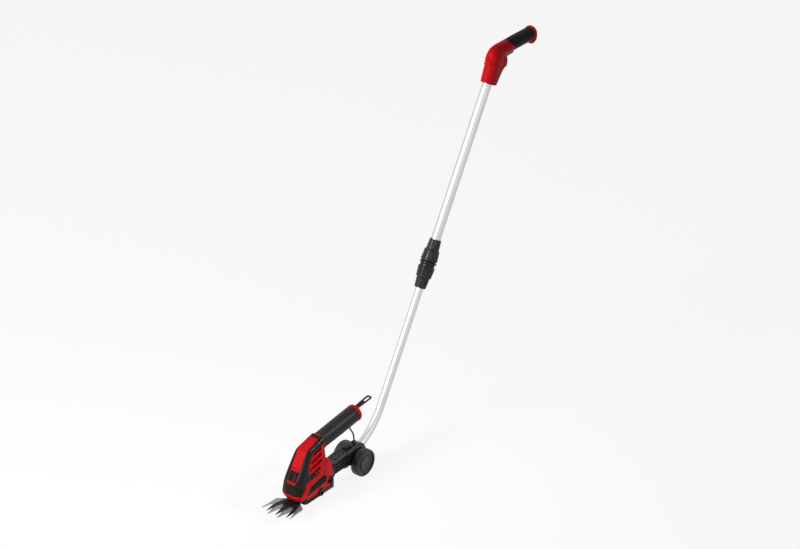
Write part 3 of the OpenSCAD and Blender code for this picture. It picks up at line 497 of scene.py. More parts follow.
def lifted(points, height):
    """A sheet of points moved along its own normals, the cross product of its two directions."""
    down, right = np.gradient(points, axis=0), np.gradient(points, axis=1)
    normal = np.cross(down, right)
    normal /= np.linalg.norm(normal, axis=2)[..., None] + 1e-9
    outward = np.sign((normal * (points - points.mean((0, 1)) * [0, 1, 1])).sum())
    return points + normal * outward * height[..., None]


def shoulder(y):
    """Height of the line where the belt ends."""
    return np.interp(y, [-75, -61, -37.7, 24, 45], [26, 26.5, 52.5, 53, 53.5])


def step(value, width):
    """0 below zero, 1 above, eased over that width: t * t * (3 - 2 * t)."""
    t = np.clip(value / width + 0.5, 0, 1)
    return t * t * (3 - 2 * t)


def column(*runs):
    """Runs of positions as one sorted column, each position once."""
    return np.unique(np.concatenate(runs))[:, None]


def cells(mask, rule):
    """Which cells of a grid have all or any of their corners in a mask, by np.all or np.any."""
    return rule([mask[:-1, :-1], mask[1:, :-1], mask[:-1, 1:], mask[1:, 1:]], axis=0)


head_y = column(np.linspace(NOSE_Y, FINE_ROWS_TO, 34),
                np.linspace(FINE_ROWS_TO, REAR_Y - REAR_ROUND, 190))
head = head_section(head_y)
hx, hy, hz = head[..., 0], head[..., 1], head[..., 2]
EDGE_EASE = 1.2
relief = BELT_T * step(shoulder(hy) - hz, EDGE_EASE)
# Each louvre: its front end, its rear end, and the height of its foot at LOUVRE_Y.
LOUVRES = [[-25, 13, 62], [-23.5, 20, 76.5], [-16.5, 20, 91], [-10.5, 20.5, 105.5]]
LOUVRE_Y, LOUVRE_RISE, LOUVRE_H, LOUVRE_DEEP, LOUVRE_MIN_X = -13, 0.178, 7.8, 3.0, 12
gap = np.zeros(hz.shape, bool)
for slot_front, slot_rear, slot_foot in LOUVRES:
    rise = hz - (slot_foot + LOUVRE_RISE * (hy - LOUVRE_Y))
    lengthwise = step(np.minimum(hy - slot_front, slot_rear - hy), EDGE_EASE)
    upright = step(np.minimum(rise, LOUVRE_H - rise), EDGE_EASE)
    within = lengthwise * upright * (hx > LOUVRE_MIN_X)
    relief = relief - LOUVRE_DEEP * within
    gap = gap | (within > 0.96)
SEAM_DEEP, SEAM_HALF, SEAM_TOP = 0.35, 0.5, 35
relief = relief - SEAM_DEEP * np.exp(-(hx / SEAM_HALF)**2) * (hz < SEAM_TOP)
bare_head, head = head, lifted(head, relief)


def scaled(ring, share, y):
    """A ring drawn in towards its own middle height on the parting plane, and set at y."""
    middle = np.array([0, 0, (ring[:, 2].max() + ring[:, 2].min()) / 2])
    made = middle + (ring - middle) * [share, 0, share]
    made[:, 1] = y + (ring[:, 1] - ring[:, 1].min()) * share**2
    return made


DOME_FOOT, DOME_LENGTH, DOME_END = 30, 38, 66.0
dome_y = np.array([33.3, 36, 40, 44, 48, 52, 55.5, 58.5, 61, 63, 64.7, DOME_END])[:, None]
dome_e = np.sqrt(1 - ((dome_y - DOME_FOOT) / DOME_LENGTH)**2)
dome_w = 14 + 10 * dome_e
dome_low = (dome_w - 2, SOLE_H + 3 * (1 - dome_e))
dome_knee = (dome_w, np.full_like(dome_y, 32))
dome_top = (dome_w - 3, 40 + 39 * dome_e)
dome = half_section(dome_y, dome_low, dome_knee, dome_top, cut=9)
nose_rows = [scaled(head[0], s, NOSE_Y - BELT_T + e)
             for s, e in ((0, 0), (0.3, 0), (0.6, 0), (0.85, 0), (0.97, 0.1), (0.99, 0.5))]
round_rows = [scaled(head[-1], 1 - REAR_ROUND * (1 - math.cos(a)) / BODY_HALF,
                     REAR_Y - REAR_ROUND + REAR_ROUND * math.sin(a))
              for a in np.radians([18, 36, 54, 72, 90])]
wall_rows = [round_rows[-1] * (1 - t) + dome[0] * t for t in (0.03, 0.3, 0.6, 0.97)]
tail_rows = [scaled(dome[-1], s, DOME_END) for s in (0.97, 0.5, 0)]
skin = np.concatenate([nose_rows, head, round_rows, wall_rows, dome, tail_rows])

CRANK_Y, CRANK_HOLE_R = -20.0, 8.0
crank = (np.hypot(hx, hy - CRANK_Y) < CRANK_HOLE_R) & (hz < SOLE_H + 1)
solid = np.ones((len(skin) - 1, skin.shape[1] - 1), bool)
head_cells = slice(len(nose_rows), len(nose_rows) + len(head) - 1)
solid[head_cells] = ~cells(gap, np.all) & ~cells(crank, np.any)


def soft_corners(points, ease, steps=5):
    """A closed outline whose corners are eased by a quadratic curve over that length of a side."""
    p = np.asarray(points, float)

    def reach(v):
        return v * np.minimum(ease / np.linalg.norm(v, axis=1), 0.45)[:, None]

    first, last = p + reach(np.roll(p, 1, 0) - p), p + reach(np.roll(p, -1, 0) - p)
    t = np.linspace(0, 1, steps)[None, :, None]
    eased = (1 - t)**2 * first[:, None] + 2 * t * (1 - t) * p[:, None] + t**2 * last[:, None]
    return eased.reshape(-1, 2)


def thicken(piece, wall):
    """Gives a sheet a wall of that many millimetres, on its inner side."""
    modifier = piece.modifiers.new("wall", "SOLIDIFY")
    modifier.thickness = wall * MM
    modifier.offset = -1


SKIRT_MID_X, SKIRT_MID_Z = 25.5, 12
skirt_outline = soft_corners([[24.75, 7.6], [26.2, 7.6], [26.45, 16.5], [24.75, 16.5]], 0.7)
skirt_x, skirt_z = skirt_outline[None, :, 0], skirt_outline[None, :, 1]
skirt_y = np.array([-40, -39.6, -10, 20, 43.6, 44])[:, None]
skirt_in = np.array([0.7, 0, 0, 0, 0, 0.7])[:, None]
skirt = stacked(skirt_x - skirt_in * (skirt_x > SKIRT_MID_X), skirt_y,
                skirt_z + skirt_in * (skirt_z < SKIRT_MID_Z))
HEAD_MIDDLE = (0, -10, 60)
red_plastic = moulded("red_plastic", (0.50, 0.006, 0.010), 0.3, grain=0.7, relief=0.002, cloud=0.06,
                      shine=0.05)
for side, sign in SIDES:
    shell = build(side + "_shell", skin * [sign, 1, 1], red_plastic, away_from=HEAD_MIDDLE,
                  keep=solid)
    thicken(shell, SHELL_T)
    skirt_piece = build(side + "_skirt", capped(skirt * [sign, 1, 1]), red_plastic, around=True)
    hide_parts(side + "_housing")
    for red_piece in (shell, skirt_piece):
        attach(red_piece, ROOT)

# The baffles: a red moulded sheet behind the louvres of each shell, that keeps dust and fingers off
# the drive. It is let into the shell.
BAFFLE_DEEP, BAFFLE_T = 7.0, 1.0
behind_slots = (hy > -31) & (hy < 26) & (hz > 54) & (hz < 124) & (hx > 9)
behind_slots = behind_slots[:-1, :-1] & behind_slots[1:, 1:]
baffle_sheet = lifted(bare_head, np.full(hz.shape, -BAFFLE_DEEP))
for side, sign in SIDES:
    baffle = build(side + "_baffle", baffle_sheet * [sign, 1, 1], red_plastic,
                   away_from=HEAD_MIDDLE, keep=behind_slots)
    thicken(baffle, BAFFLE_T)
    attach(baffle, ROOT)

# The bezel: one dark grey grained moulding clipped over the nose, the front slope and the roof
# edges. Its wings run back along the shoulder to a point, and a window in it shows the red inlay.
BEZEL_END, BEZEL_ROUND, BEZEL_SUNK, WINDOW_SUNK, BEZEL_WALL = 32.5, 1.5, 0.9, 0.6, 1.2
BEZEL_OUTLINE = [[-80, 26.5], [-64.5, 26.5], [-62.5, 28.9], [-60, 28.5], [-37.7, 53.5], [-2, 55],
                 [12.5, 62], [-27, 63], [-29.5, 79], [-22, 99], [-10, 114.5], [BEZEL_END, 122.5],
                 [BEZEL_END, 164], [-80, 164]]
WINDOW_END, WINDOW_R = 21.0, 7.0
SLOPE_ANGLE = math.atan(SLOPE_RISE)


def inside(outline, y, z):
    """Distance from (y, z) to a closed outline, positive inside it: the distance to the nearest
    side, and its sign from the number of sides that a line drawn along y would cross."""
    near, odd = 1e9, False
    for (y0, z0), (y1, z1) in zip(outline, outline[1:] + outline[:1]):
        dy, dz = y1 - y0, z1 - z0
        t = np.clip(((y - y0) * dy + (z - z0) * dz) / (dy**2 + dz**2), 0, 1)
        near = np.minimum(near, np.hypot(y - y0 - t * dy, z - z0 - t * dz))
        odd = odd ^ (((z0 > z) != (z1 > z)) & (y < dy * (z - z0) / (dz + 1e-9) + y0))
    return np.where(odd, near, -near)


def window_half(y):
    """Half width of the window: it widens up the slope to the break and narrows on the roof."""
    return np.interp(y, [-66, BREAK_Y - 1, WINDOW_END], [12.2, 13.2, 11.5])


def up_slope(y, z):
    """Distance up the front slope from the brow."""
    return (y - BROW_Y) * math.cos(SLOPE_ANGLE) + (z - BROW_Z) * math.sin(SLOPE_ANGLE)


def window_edge(x, y, z):
    """How far a point lies inside the window, whose rear corners are rounded."""
    at_side, at_end = window_half(y) - np.abs(x), WINDOW_END - y
    side_in, end_in = np.maximum(WINDOW_R - at_side, 0), np.maximum(WINDOW_R - at_end, 0)
    corner = WINDOW_R - np.hypot(side_in, end_in)
    edge = np.where((side_in > 0) & (end_in > 0), corner, np.minimum(at_side, at_end))
    return np.minimum(edge, up_slope(y, z) + 1)


bezel_y = column(np.linspace(NOSE_Y, FINE_ROWS_TO, 30), np.linspace(FINE_ROWS_TO, BEZEL_END, 120),
                 WINDOW_END + np.linspace(-4, 1, 14))
bezel_across = np.hstack([window_half(bezel_y) + [[30, 2.2, 0.7, 0.25, 0, -0.3, -1.2]],
                          np.repeat([[8, 4, 1.5, 0]], len(bezel_y), 0)])
bezel = head_section(bezel_y, start=np.minimum(26.0, roof(bezel_y) - 6), side_steps=80,
                     across=bezel_across)
bx, by, bz = bezel[..., 0], bezel[..., 1], bezel[..., 2]
in_outline = inside(BEZEL_OUTLINE, by, bz)
in_window = window_edge(bx, bezel_y, bz)
bezel_lift = -BEZEL_SUNK + (BEZEL_T + BEZEL_SUNK) * step(in_outline - 0.5, 1.3)
bezel_lift = bezel_lift - (BEZEL_T + WINDOW_SUNK) * step(in_window, 0.5)
rear_fall = np.clip((bezel_y - (BEZEL_END - BEZEL_ROUND)) / BEZEL_ROUND, 0, 1)**2
bezel_lift = np.minimum(bezel_lift, BEZEL_T - BEZEL_ROUND * rear_fall)
bezel = lifted(bezel, bezel_lift)
bezel_full = np.concatenate([bezel * [-1, 1, 1], bezel[:, -2::-1]], 1)
covered = cells((in_outline > -1.5) & (in_window < 2.5), np.any)
grey_plastic = moulded("grey_plastic", (0.010, 0.009, 0.0088), 0.28, grain=0.6, relief=0.015,
                       cloud=0.12, shine=0.1)
bezel_piece = build("bezel_skin", bezel_full, grey_plastic, away_from=(0, 0, 50),
                    keep=np.hstack([covered, covered[:, ::-1]]))
thicken(bezel_piece, BEZEL_WALL)
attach(bezel_piece, ROOT)
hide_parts("front_bezel")

# The red inlay: a glossy moulded strip that fills the bezel's window from the brow to the back of
# the roof, with a thin raised rim and a sunk bed for the slider at its lower end.
PANEL_PLAY, PANEL_PROUD, PANEL_WALL = 0.15, 0.25, 1.0
PANEL_LOW, PANEL_END = -64.0, WINDOW_END - PANEL_PLAY
BED_HALF, BED_LOW, BED_HIGH, BED_DEEP = 9.9, 5, 36, 1.9
RIM_H, RIM_AT, RIM_HALF, RIM_FALL = 0.35, 0.9, 0.5, 1.6
panel_y = column(np.linspace(PANEL_LOW, PANEL_END, 130),
                 PANEL_LOW + np.linspace(0, 4, 14)**1.5 / 2,
                 PANEL_END - np.linspace(0, 4, 12)**1.5 / 2)
from_end = PANEL_END - panel_y
corner_at = np.maximum(WINDOW_R - from_end, 0)
corner_in = WINDOW_R - np.sqrt(np.maximum(WINDOW_R**2 - corner_at**2, 0))
panel_u = np.concatenate([[-1, -0.985, -0.96, -0.92, -0.9, -0.87], np.linspace(-0.84, 0.84, 31),
                          [0.87, 0.9, 0.92, 0.96, 0.985, 1]])[None]
panel_half = window_half(panel_y) - PANEL_PLAY - corner_in
panel_x = panel_u * panel_half
panel_z = roof(panel_y)
panel = stacked(panel_x, panel_y + bowed(panel_x, panel_y), panel_z)
panel_up = up_slope(panel_y, panel_z)
to_rim = np.minimum(panel_half - np.abs(panel_x), np.minimum(from_end, panel_up - panel_up[0]))
in_bed = np.minimum(np.minimum(BED_HALF - np.abs(panel_x), panel_up - BED_LOW), BED_HIGH - panel_up)
rim = RIM_H * np.exp(-((to_rim - RIM_AT) / RIM_HALF)**2)
panel_lift = (BEZEL_T + PANEL_PROUD + rim - BED_DEEP * step(in_bed, 0.5)
              - RIM_FALL * step(0.25 - to_rim, 0.4))
inlay = build("inlay", lifted(panel, panel_lift), red_plastic, away_from=(0, 0, 40))
thicken(inlay, PANEL_WALL)
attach(inlay, ROOT)
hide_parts("top_panel")

# Small parts of the head: the ribbed black slider that lets the blades go, the bare gloss plates on
# the lower sides, and the screws that hold the halves together.
black_plastic = moulded("black_plastic", (0.008, 0.0075, 0.0075), 0.32, relief=0.02, shine=0.1)
gloss_black = moulded("gloss_black", (0.005, 0.0048, 0.005), 0.3, grain=1.5, relief=0.004,
                      shine=0.08)
dress(["blade_release"], black_plastic, 0.5)
dress(["left_side_plate", "right_side_plate"], gloss_black, 0.5)
black_zinc = metal("black_zinc", (0.10, 0.10, 0.105), 0.4)
dress(["housing_screws", "carriage_screws", "handle_screws"], black_zinc, 0.2)

# The side clips: black hooks moulded on the sole, one on each side, that reach up over the skirts
# of the shells and hold the sole on.
clip_outline = soft_corners([[1, 0.5], [14, 0.5], [15.5, 3], [15.5, 14.5], [13, 17.5], [5, 17.5],
                             [3.5, 14], [3.5, 9], [1, 6]], 1.2)
clip_in = np.array([0, 0, 0.25, 0.7, 1.3])[:, None, None]
clip_x = np.array([26.3, 29.2, 29.6, 29.85, 29.9])[:, None]
clip_inward = unit(clip_outline.mean(0) - clip_outline)
clip_yz = clip_outline[None] + clip_in * clip_inward[None]
for side, sign in SIDES:
    clip_rings = stacked(sign * clip_x, clip_yz[..., 0], clip_yz[..., 1])
    clip = build(side + "_clip", capped(clip_rings), sole_plastic, around=True)
    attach(clip, ROOT)


# The grip: a soft dark sleeve over the core of the housing, with the trigger in a slot on its
# underside, between a thin red seam ring in front and a red collar behind.
def turned(profile, foot, axis, sides, swell=None):
    """A turned form: profile points of radius and height, carried round an axis from its foot.
    swell adds to the radius by height and angle."""
    axis = unit(np.asarray(axis, float))
    first = ACROSS if abs(axis[0]) < 0.5 else np.array([0, 0, 1.0])
    second = np.cross(axis, first)
    r, h = np.asarray(profile, float).T[:, :, None, None]
    turn = full_turn(sides)
    r = r + swell(h, turn) if swell else r
    return foot + h * axis + r * (np.cos(turn) * first + np.sin(turn) * second)


GRIP_FOOT = np.array([0, 36.0, 119.7])
GRIP_TILT = math.radians(5.5)
GRIP_AXIS = np.array([0, math.cos(GRIP_TILT), math.sin(GRIP_TILT)])
GRIP_R, RING_IN_R = 20.0, 15
soft_grip = moulded("soft_grip", (0.015, 0.0115, 0.0125), 0.4, grain=1.1, relief=0.04, cloud=0.14,
                    shine=0.14)
dress(["grip_sleeve"], soft_grip, 0.5)
dress(["end_collar"], red_plastic, 0.7)
dress(["trigger"], black_plastic, 0.5)
# Each ring: its front and rear edge along the grip, its radius, its finish and its slot.
RINGS = {"seam_ring": (-4.6, -1.4, GRIP_R + 0.1, red_plastic, "red_shell"),
         "sleeve_lip": (-1.4, 4.0, GRIP_R + 0.3, soft_grip, "soft_grip")}
for ring_name, (ring_front, ring_rear, ring_r, ring_finish, ring_slot) in RINGS.items():
    ring_profile = soft_corners([[RING_IN_R, ring_front], [ring_r, ring_front],
                                 [ring_r, ring_rear], [RING_IN_R, ring_rear]], 0.6)
    ring_points = turned(ring_profile, GRIP_FOOT, GRIP_AXIS, 128)
    ring = build(ring_name, ring_points, ring_finish, around=True, along=True)
    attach(ring, ROOT)

# The works of the grip: a round cell in its paper wrap, a small circuit board, the lead's socket,
# and the switch with its return spring over the trigger. They stay out of sight.
cell_wrap = moulded("cell_wrap", (0.10, 0.22, 0.42), 0.35, grain=2, relief=0.01)
board = moulded("board", (0.02, 0.16, 0.06), 0.4, grain=0.4, relief=0.02)
dress(["battery_cell"], cell_wrap, 0.4)
dress(["circuit_board"], board, 0.1)
dress(["lead_socket", "trigger_switch", "handle_switch"], black_plastic, 0.2)
# Each spring: the joint that presses it, which way, its end that stays put in metres, and how much
# of its length is left.
SPRINGS = {
    "trigger_spring": ("trigger_press", (0, -0.095846, 0.995396), (0, 0.0511, 0.1242), 0.72),
    "latch_spring": ("latch_press", (0, 0, -1), (0, 0.1368, 0.0331), 0.68),
    "handle_spring": ("handle_trigger_press", (0, 0, 1), (0, 0.7135, 0.8332), 0.71)}
spring_steel = metal("spring_steel", (0.55, 0.55, 0.56), 0.28)
for spring_node, (spring_joint, way, foot, left_over) in SPRINGS.items():
    nodes[spring_node].data.materials.clear()
    nodes[spring_node].data.materials.append(spring_steel)
    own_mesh(nodes[spring_node])


# The hanging loop: a flat moulded strap let into the collar near its top, that thins into a round
# loop at its end.
def joined(first, second):
    """One mesh of two, in the first one's data."""
    work = bmesh.new()
    work.from_mesh(first)
    work.from_mesh(second)
    work.to_mesh(first)
    work.free()
    bpy.data.meshes.remove(second)
    return first


def swollen(v, power):
    """A sine or cosine drawn towards a square wave: that power of its size, with its sign."""
    return np.sign(v) * np.abs(v)**power


LOOP_HALF, LOOP_ROD, LOOP_OFF_AXIS = 5.2, 2.1, 10
LOOP_FROM, LOOP_LENGTH, LOOP_TURN = 159, 27, 2.2
loop_up = np.array([0, -math.sin(GRIP_TILT), math.cos(GRIP_TILT)])
loop_foot = GRIP_FOOT + LOOP_OFF_AXIS * loop_up
strap_at, strap_wide, strap_deep = np.array([
    [119.4, 120, 134, 148, 155, 160, 162, 162.5], [5.2, 5.5, 5.5, 5.6, 6.0, 6.6, 6.6, 5.8],
    [2.2, 2.5, 2.5, 2.5, 2.4, 2.2, 2.0, 1.4]])[:, :, None, None]
strap_x, strap_up = (swollen(wave(full_turn(40)), 0.45) for wave in (np.cos, np.sin))
strap_rings = (loop_foot + strap_at * GRIP_AXIS + strap_wide * strap_x * ACROSS
               + strap_deep * strap_up * loop_up)
loop_t = np.linspace(-1, 1, 72)
from_tip = np.abs(loop_t)
bulge = np.clip(from_tip * LOOP_TURN, 0, math.pi / 2)
loop_half = LOOP_HALF - 0.7 * np.clip(from_tip - 0.72, 0, 1) * 3
loop_x = np.sign(loop_t) * loop_half * np.sin(bulge)
loop_tip = 1 - 0.13 * (1 - np.cos(bulge))
loop_legs = 0.87 * (1 - from_tip) / (1 - math.pi / (2 * LOOP_TURN))
loop_a = LOOP_FROM + LOOP_LENGTH * np.where(from_tip * LOOP_TURN < math.pi / 2, loop_tip, loop_legs)
loop_line = np.stack([loop_x, loop_a], 1)
loop_ahead = unit(np.gradient(loop_line, axis=0))
loop_out = loop_ahead[:, 1:] * ACROSS - loop_ahead[:, :1] * GRIP_AXIS
loop_mid = loop_foot + loop_line[:, :1] * ACROSS + (loop_line[:, 1:] - LOOP_ROD) * GRIP_AXIS
loop_turn = full_turn(16)
loop_rings = loop_mid[:, None] + LOOP_ROD * (np.cos(loop_turn) * loop_out[:, None]
                                             + np.sin(loop_turn) * loop_up)
strap_mesh = surface("hanging_loop", capped(strap_rings), around=True)
bow_mesh = surface("hanging_bow", capped(loop_rings), around=True)
hanging_loop = place("hanging_loop", joined(strap_mesh, bow_mesh), black_plastic)
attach(hanging_loop, ROOT)
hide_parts("hang_loop")

# The carriage: two black moulded halves, ribbed where the adapter reaches under the shears and
# boxed over the axle, with the button that lets the shears go, the lead's grommet and its plug.
carriage_plastic = moulded("carriage_plastic", (0.010, 0.009, 0.0088), 0.32, grain=0.6, relief=0.02,
                           shine=0.25)
dress(["left_carriage", "right_carriage"], carriage_plastic, 0.8)
dress(["latch_button"], black_plastic, 0.7)
dress(["lead_plug", "lead_grommet"], lead_rubber, 0.4)
dress(["axle", "axle_clips"], zinc_steel, 0.2)

# The wheels: wide black plastic wheels with a raised rim, a ring-shaped hollow inside it and a flat
# hub cap pressed into the middle.
WHEEL_R, WHEEL_IN, WHEEL_W, AXLE_Y, AXLE_Z, AXLE_R = 32.5, 16.0, 21.0, 160.0, 12.5, 4.1
CAP_R = WHEEL_R - 15.15
# Radius, and depth under the wheel's outer face.
FACE = [[WHEEL_R, 4], [WHEEL_R - 1, 1.2], [WHEEL_R - 3, 0], [WHEEL_R - 5.5, 0],
        [WHEEL_R - 6.6, 3.4], [WHEEL_R - 12.9, 3.4], [WHEEL_R - 13.7, 0.9], [WHEEL_R - 15, 0.9],
        [WHEEL_R - 15, 5], [9.6, 5], [9.6, 8], [AXLE_R, 8]]
CAP = [[0, 3.4], [9.2, 3.4], [9.4, 4.9], [CAP_R - 0.3, 4.9], [CAP_R, 4.6], [CAP_R, 1.5],
       [CAP_R - 0.4, 1.05], [CAP_R - 1.2, 0.8], [CAP_R - 2.6, 0.75], [CAP_R - 3.2, 1.0], [4, 0.85],
       [0, 0.8]]
wheel_back = [[AXLE_R, 0], [WHEEL_R - 3, 0], [WHEEL_R - 0.6, 1.6], [WHEEL_R, 4]]
wheel_profile = soft_corners(wheel_back + [[r, WHEEL_W - deep] for r, deep in FACE], 0.9)
cap_profile = [[r, WHEEL_W - deep] for r, deep in CAP]
wheel_plastic = moulded("wheel_plastic", (0.024, 0.0195, 0.020), 0.42, grain=0.8, cloud=0.15,
                        shine=0.3)
for side, sign in SIDES:
    hub, outwards = (sign * WHEEL_IN, AXLE_Y, AXLE_Z), (sign, 0, 0)
    wheel = build(side + "_tyre", turned(wheel_profile, hub, outwards, 144), wheel_plastic,
                  around=True, along=True)
    cap = build(side + "_cap", turned(cap_profile, hub, outwards, 96), wheel_plastic, around=True)
    for wheel_piece, wheel_node in ((wheel, side + "_wheel"), (cap, side + "_hub_cap")):
        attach(wheel_piece, side + "_wheel")
        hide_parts(wheel_node)

# The pole: two satin anodised tubes, drawn lengthwise. The lower one is bent just above the
# carriage, and the upper one slides over it on a bush.
LOWER_R, UPPER_R, TUBE_WALL, TUBE_SIDES = 9.0, 11.0, 1.2, 64
BEND_R, BEND_FOOT = 165.0, np.array([0, 188.4, 39.2])
TUBE_LOW, TUBE_HIGH = math.radians(26), math.radians(60)
LOWER_TOP, UPPER_FOOT, UPPER_TOP = 525.0, 342.0, 807.0
bend_mid = BEND_FOOT + BEND_R * np.array([0, -math.sin(TUBE_LOW), math.cos(TUBE_LOW)])
POLE_AXIS = np.array([0, math.cos(TUBE_HIGH), math.sin(TUBE_HIGH)])
POLE_FOOT = bend_mid + BEND_R * np.array([0, math.sin(TUBE_HIGH), -math.cos(TUBE_HIGH)])
stub_axis = np.array([0, math.cos(TUBE_LOW), math.sin(TUBE_LOW)])
bend_turn = np.linspace(TUBE_LOW, TUBE_HIGH, 40)[:, None]
bend_line = bend_mid + BEND_R * (np.sin(bend_turn) * [0, 1.0, 0] - np.cos(bend_turn) * [0, 0, 1.0])
stub_line = BEND_FOOT - np.array([[26], [14], [4]]) * stub_axis
straight_line = POLE_FOOT + np.array([[6], [40], [LOWER_TOP - 1], [LOWER_TOP]]) * POLE_AXIS
lower_line = np.vstack([stub_line, bend_line, straight_line])
lower_rings = np.concatenate([sweep(lower_line, LOWER_R, TUBE_SIDES),
                              sweep(lower_line, LOWER_R - TUBE_WALL, TUBE_SIDES)[::-1]])
tube_aluminium = metal("tube_aluminium", (0.62, 0.61, 0.608), 0.36, line_mm=6, relief=0.0002,
                       tarnish=0.04)
lower_pole = build("lower_pole", lower_rings, tube_aluminium, around=True, along=True)
upper_profile = soft_corners([[UPPER_R - TUBE_WALL, UPPER_FOOT], [UPPER_R, UPPER_FOOT],
                              [UPPER_R, UPPER_TOP], [UPPER_R - TUBE_WALL, UPPER_TOP]], 0.3)
upper_points = turned(upper_profile, POLE_FOOT, POLE_AXIS, TUBE_SIDES)
upper_tube = build("upper_pole_tube", upper_points, tube_aluminium, around=True, along=True)
for tube_piece, tube_node, tube_body in ((lower_pole, "lower_tube", ROOT),
                                         (upper_tube, "upper_tube", "upper_pole")):
    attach(tube_piece, tube_body)
    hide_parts(tube_node)
dress(["guide_bush", "clamp_collet"], frame_plastic, 0.2)

# The twist lock: a black nut and collar shaped as two stepped cones, foot to foot with a flange
# between them. Shallow flutes for the fingers run along the wide parts and the ends.
CLAMP_AT, CLAMP_LEN, CLAMP_BORE = 280.0, 115.0, 12.4
WIDE_DEEP, FINE_DEEP = 1.3, 0.55


def flutes(height, turn):
    """Hollows along the clamp: 12 wide ones on each barrel and 24 fine ones on each end cone."""
    h = height - CLAMP_AT
    h = np.minimum(h, CLAMP_LEN - h)
    barrel = step(h - 28.5, 3) * step(47 - h, 3)
    end = step(h - 2.5, 2) * step(21 - h, 3)
    wide = np.clip(np.cos(12 * turn) - 0.35, 0, 1) / 0.65
    fine = np.clip(np.cos(24 * turn), 0, 1)
    return -WIDE_DEEP * barrel * wide - FINE_DEEP * end * fine


def run_up(points, longest):
    """A closed outline with its long sides divided, so that no part is longer than that."""
    ends = np.roll(points, -1, 0)
    counts = np.maximum(1, np.ceil(np.linalg.norm(ends - points, axis=1) / longest)).astype(int)
    return np.vstack([p + (e - p) * np.arange(n)[:, None] / n
                      for p, e, n in zip(points, ends, counts)])


NUT_R, COLLAR_R = LOWER_R + 0.4, UPPER_R + 0.02
nut_outline = [[NUT_R, 0], [13.2, 0], [15, 24.5], [17.5, 25.5], [19.5, 49.5], [16.8, 51],
               [16.8, 56.8], [14.2, 56.8], [14.2, 22], [NUT_R, 19]]
collar_outline = [[COLLAR_R, 62], [COLLAR_R, CLAMP_LEN], [13.2, CLAMP_LEN], [15, 90.5],
                  [17.5, 89.5], [19.5, 65.5], [16.8, 64], [16.8, 62.4], [19.5, 61.6], [19.5, 58.4],
                  [16.8, 57.2], [14.2, 57.2], [14.2, 62]]
for clamp_name, clamp_node, clamp_body, outline in (
        ("nut_body", "clamp_nut", "clamp_nut", nut_outline),
        ("collar_body", "clamp_collar", "upper_pole", collar_outline)):
    clamp_profile = run_up(soft_corners(np.array(outline) + [0, CLAMP_AT], 0.9), 1.2)
    outer = clamp_profile[:, :1, None] > CLAMP_BORE
    clamp_points = turned(clamp_profile, POLE_FOOT, POLE_AXIS, 192,
                          lambda h, turn: flutes(h, turn) * outer)
    clamp = build(clamp_name, clamp_points, carriage_plastic, around=True, along=True)
    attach(clamp, clamp_body)
    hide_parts(clamp_node)

# The pistol handle: two red shells with a collar that tapers onto the pole, three ribs across the
# front of the bend, and a black ribbed grip inlay, then a red flange that hooks down at the end.
# Each row: y and z of the front or top edge, y and z of the back or underside, and the half width.
HAND_FOOT = POLE_FOOT + 767 * POLE_AXIS
HAND_ROWS = [[-13.4, 7.8, 14.3, -8.2, 15.6], [-6.6, 24.6, 25.5, 6.1, 15.8],
             [0.6, 43.1, 38, 21.5, 16], [4.2, 53.4, 46, 25.5, 16], [5, 57.2, 52.4, 26.5, 16],
             [6.6, 64, 54.6, 35, 15.9], [9.6, 73.6, 58.5, 46.5, 15.6], [18, 80.8, 63.5, 48, 15.3],
             [34, 82.5, 68, 48.2, 15.2], [52, 81, 76, 47.6, 15.2], [68, 79.5, 93, 46.4, 15.1]]
CORE_ROWS = [[68.4, 78, 93.4, 47.9, 13.7], [100, 76.2, 112, 46.6, 13.7],
             [153, 71.5, 150.5, 43, 13.7]]
END_ROWS = [[153.4, 75.2, 151, 32.6, 15.4], [155, 75.6, 152.6, 31.4, 16.1],
            [161, 74, 158.4, 33.4, 16], [163.5, 71, 160.8, 38, 14]]
RIBS_AT, RIB_HALF, RIB_H, SOCKET_H = (41.5, 47.6, 53.7), 1.5, 1.7, 1.1
FLAT_ROWS, SOCKET_ROWS = 72, 66


def finer(rows, steps, blend):
    """Sections interpolated between the given ones, then averaged over neighbours to ease bends."""
    rows = np.asarray(rows, float)
    at = np.linspace(0, len(rows) - 1, (len(rows) - 1) * steps + 1)
    fine = np.stack([np.interp(at, np.arange(len(rows)), column) for column in rows.T], 1)
    for _ in range(blend):
        fine[1:-1] = (fine[:-2] + 2 * fine[1:-1] + fine[2:]) / 4
    return fine


def hand_half(rows, turns, flat=0.0):
    """Half sections of the handle from its front or top edge round one side to its back or
    underside: a squarish oval between the two edge points. Where flat is 1, the section has a round
    front, flat sides and a small round at the back corner, which take 0.4, 0.35 and 0.15 of the
    turn. The back takes the last tenth."""
    front, behind, wide = rows[:, None, 0:2], rows[:, None, 2:4], rows[:, None, 4]
    deep = np.linalg.norm(front - behind, axis=2)
    corner, t = 4.0, turns[None] / math.pi
    nose = np.clip(t / 0.4, 0, 1) * math.pi / 2
    along = np.clip((t - 0.4) / 0.35, 0, 1)
    tail = np.clip((t - 0.75) / 0.15, 0, 1) * math.pi / 2
    box_d = wide * (1 - np.cos(nose)) + (deep - wide - corner) * along + corner * np.sin(tail)
    box_x = wide * np.sin(nose) - corner * (1 - np.cos(tail))
    box_x = box_x * (1 - np.clip((t - 0.9) / 0.1, 0, 1))
    oval_s, oval_x = (swollen(wave(turns), 0.86)[None] for wave in (np.cos, np.sin))
    s = (1 - flat) * oval_s + flat * (1 - 2 * box_d / deep)
    x = (1 - flat) * wide * oval_x + flat * box_x
    yz = (front + behind) / 2 + (front - behind) / 2 * s[..., None]
    return stacked(x, yz[..., 0], yz[..., 1]) + HAND_FOOT


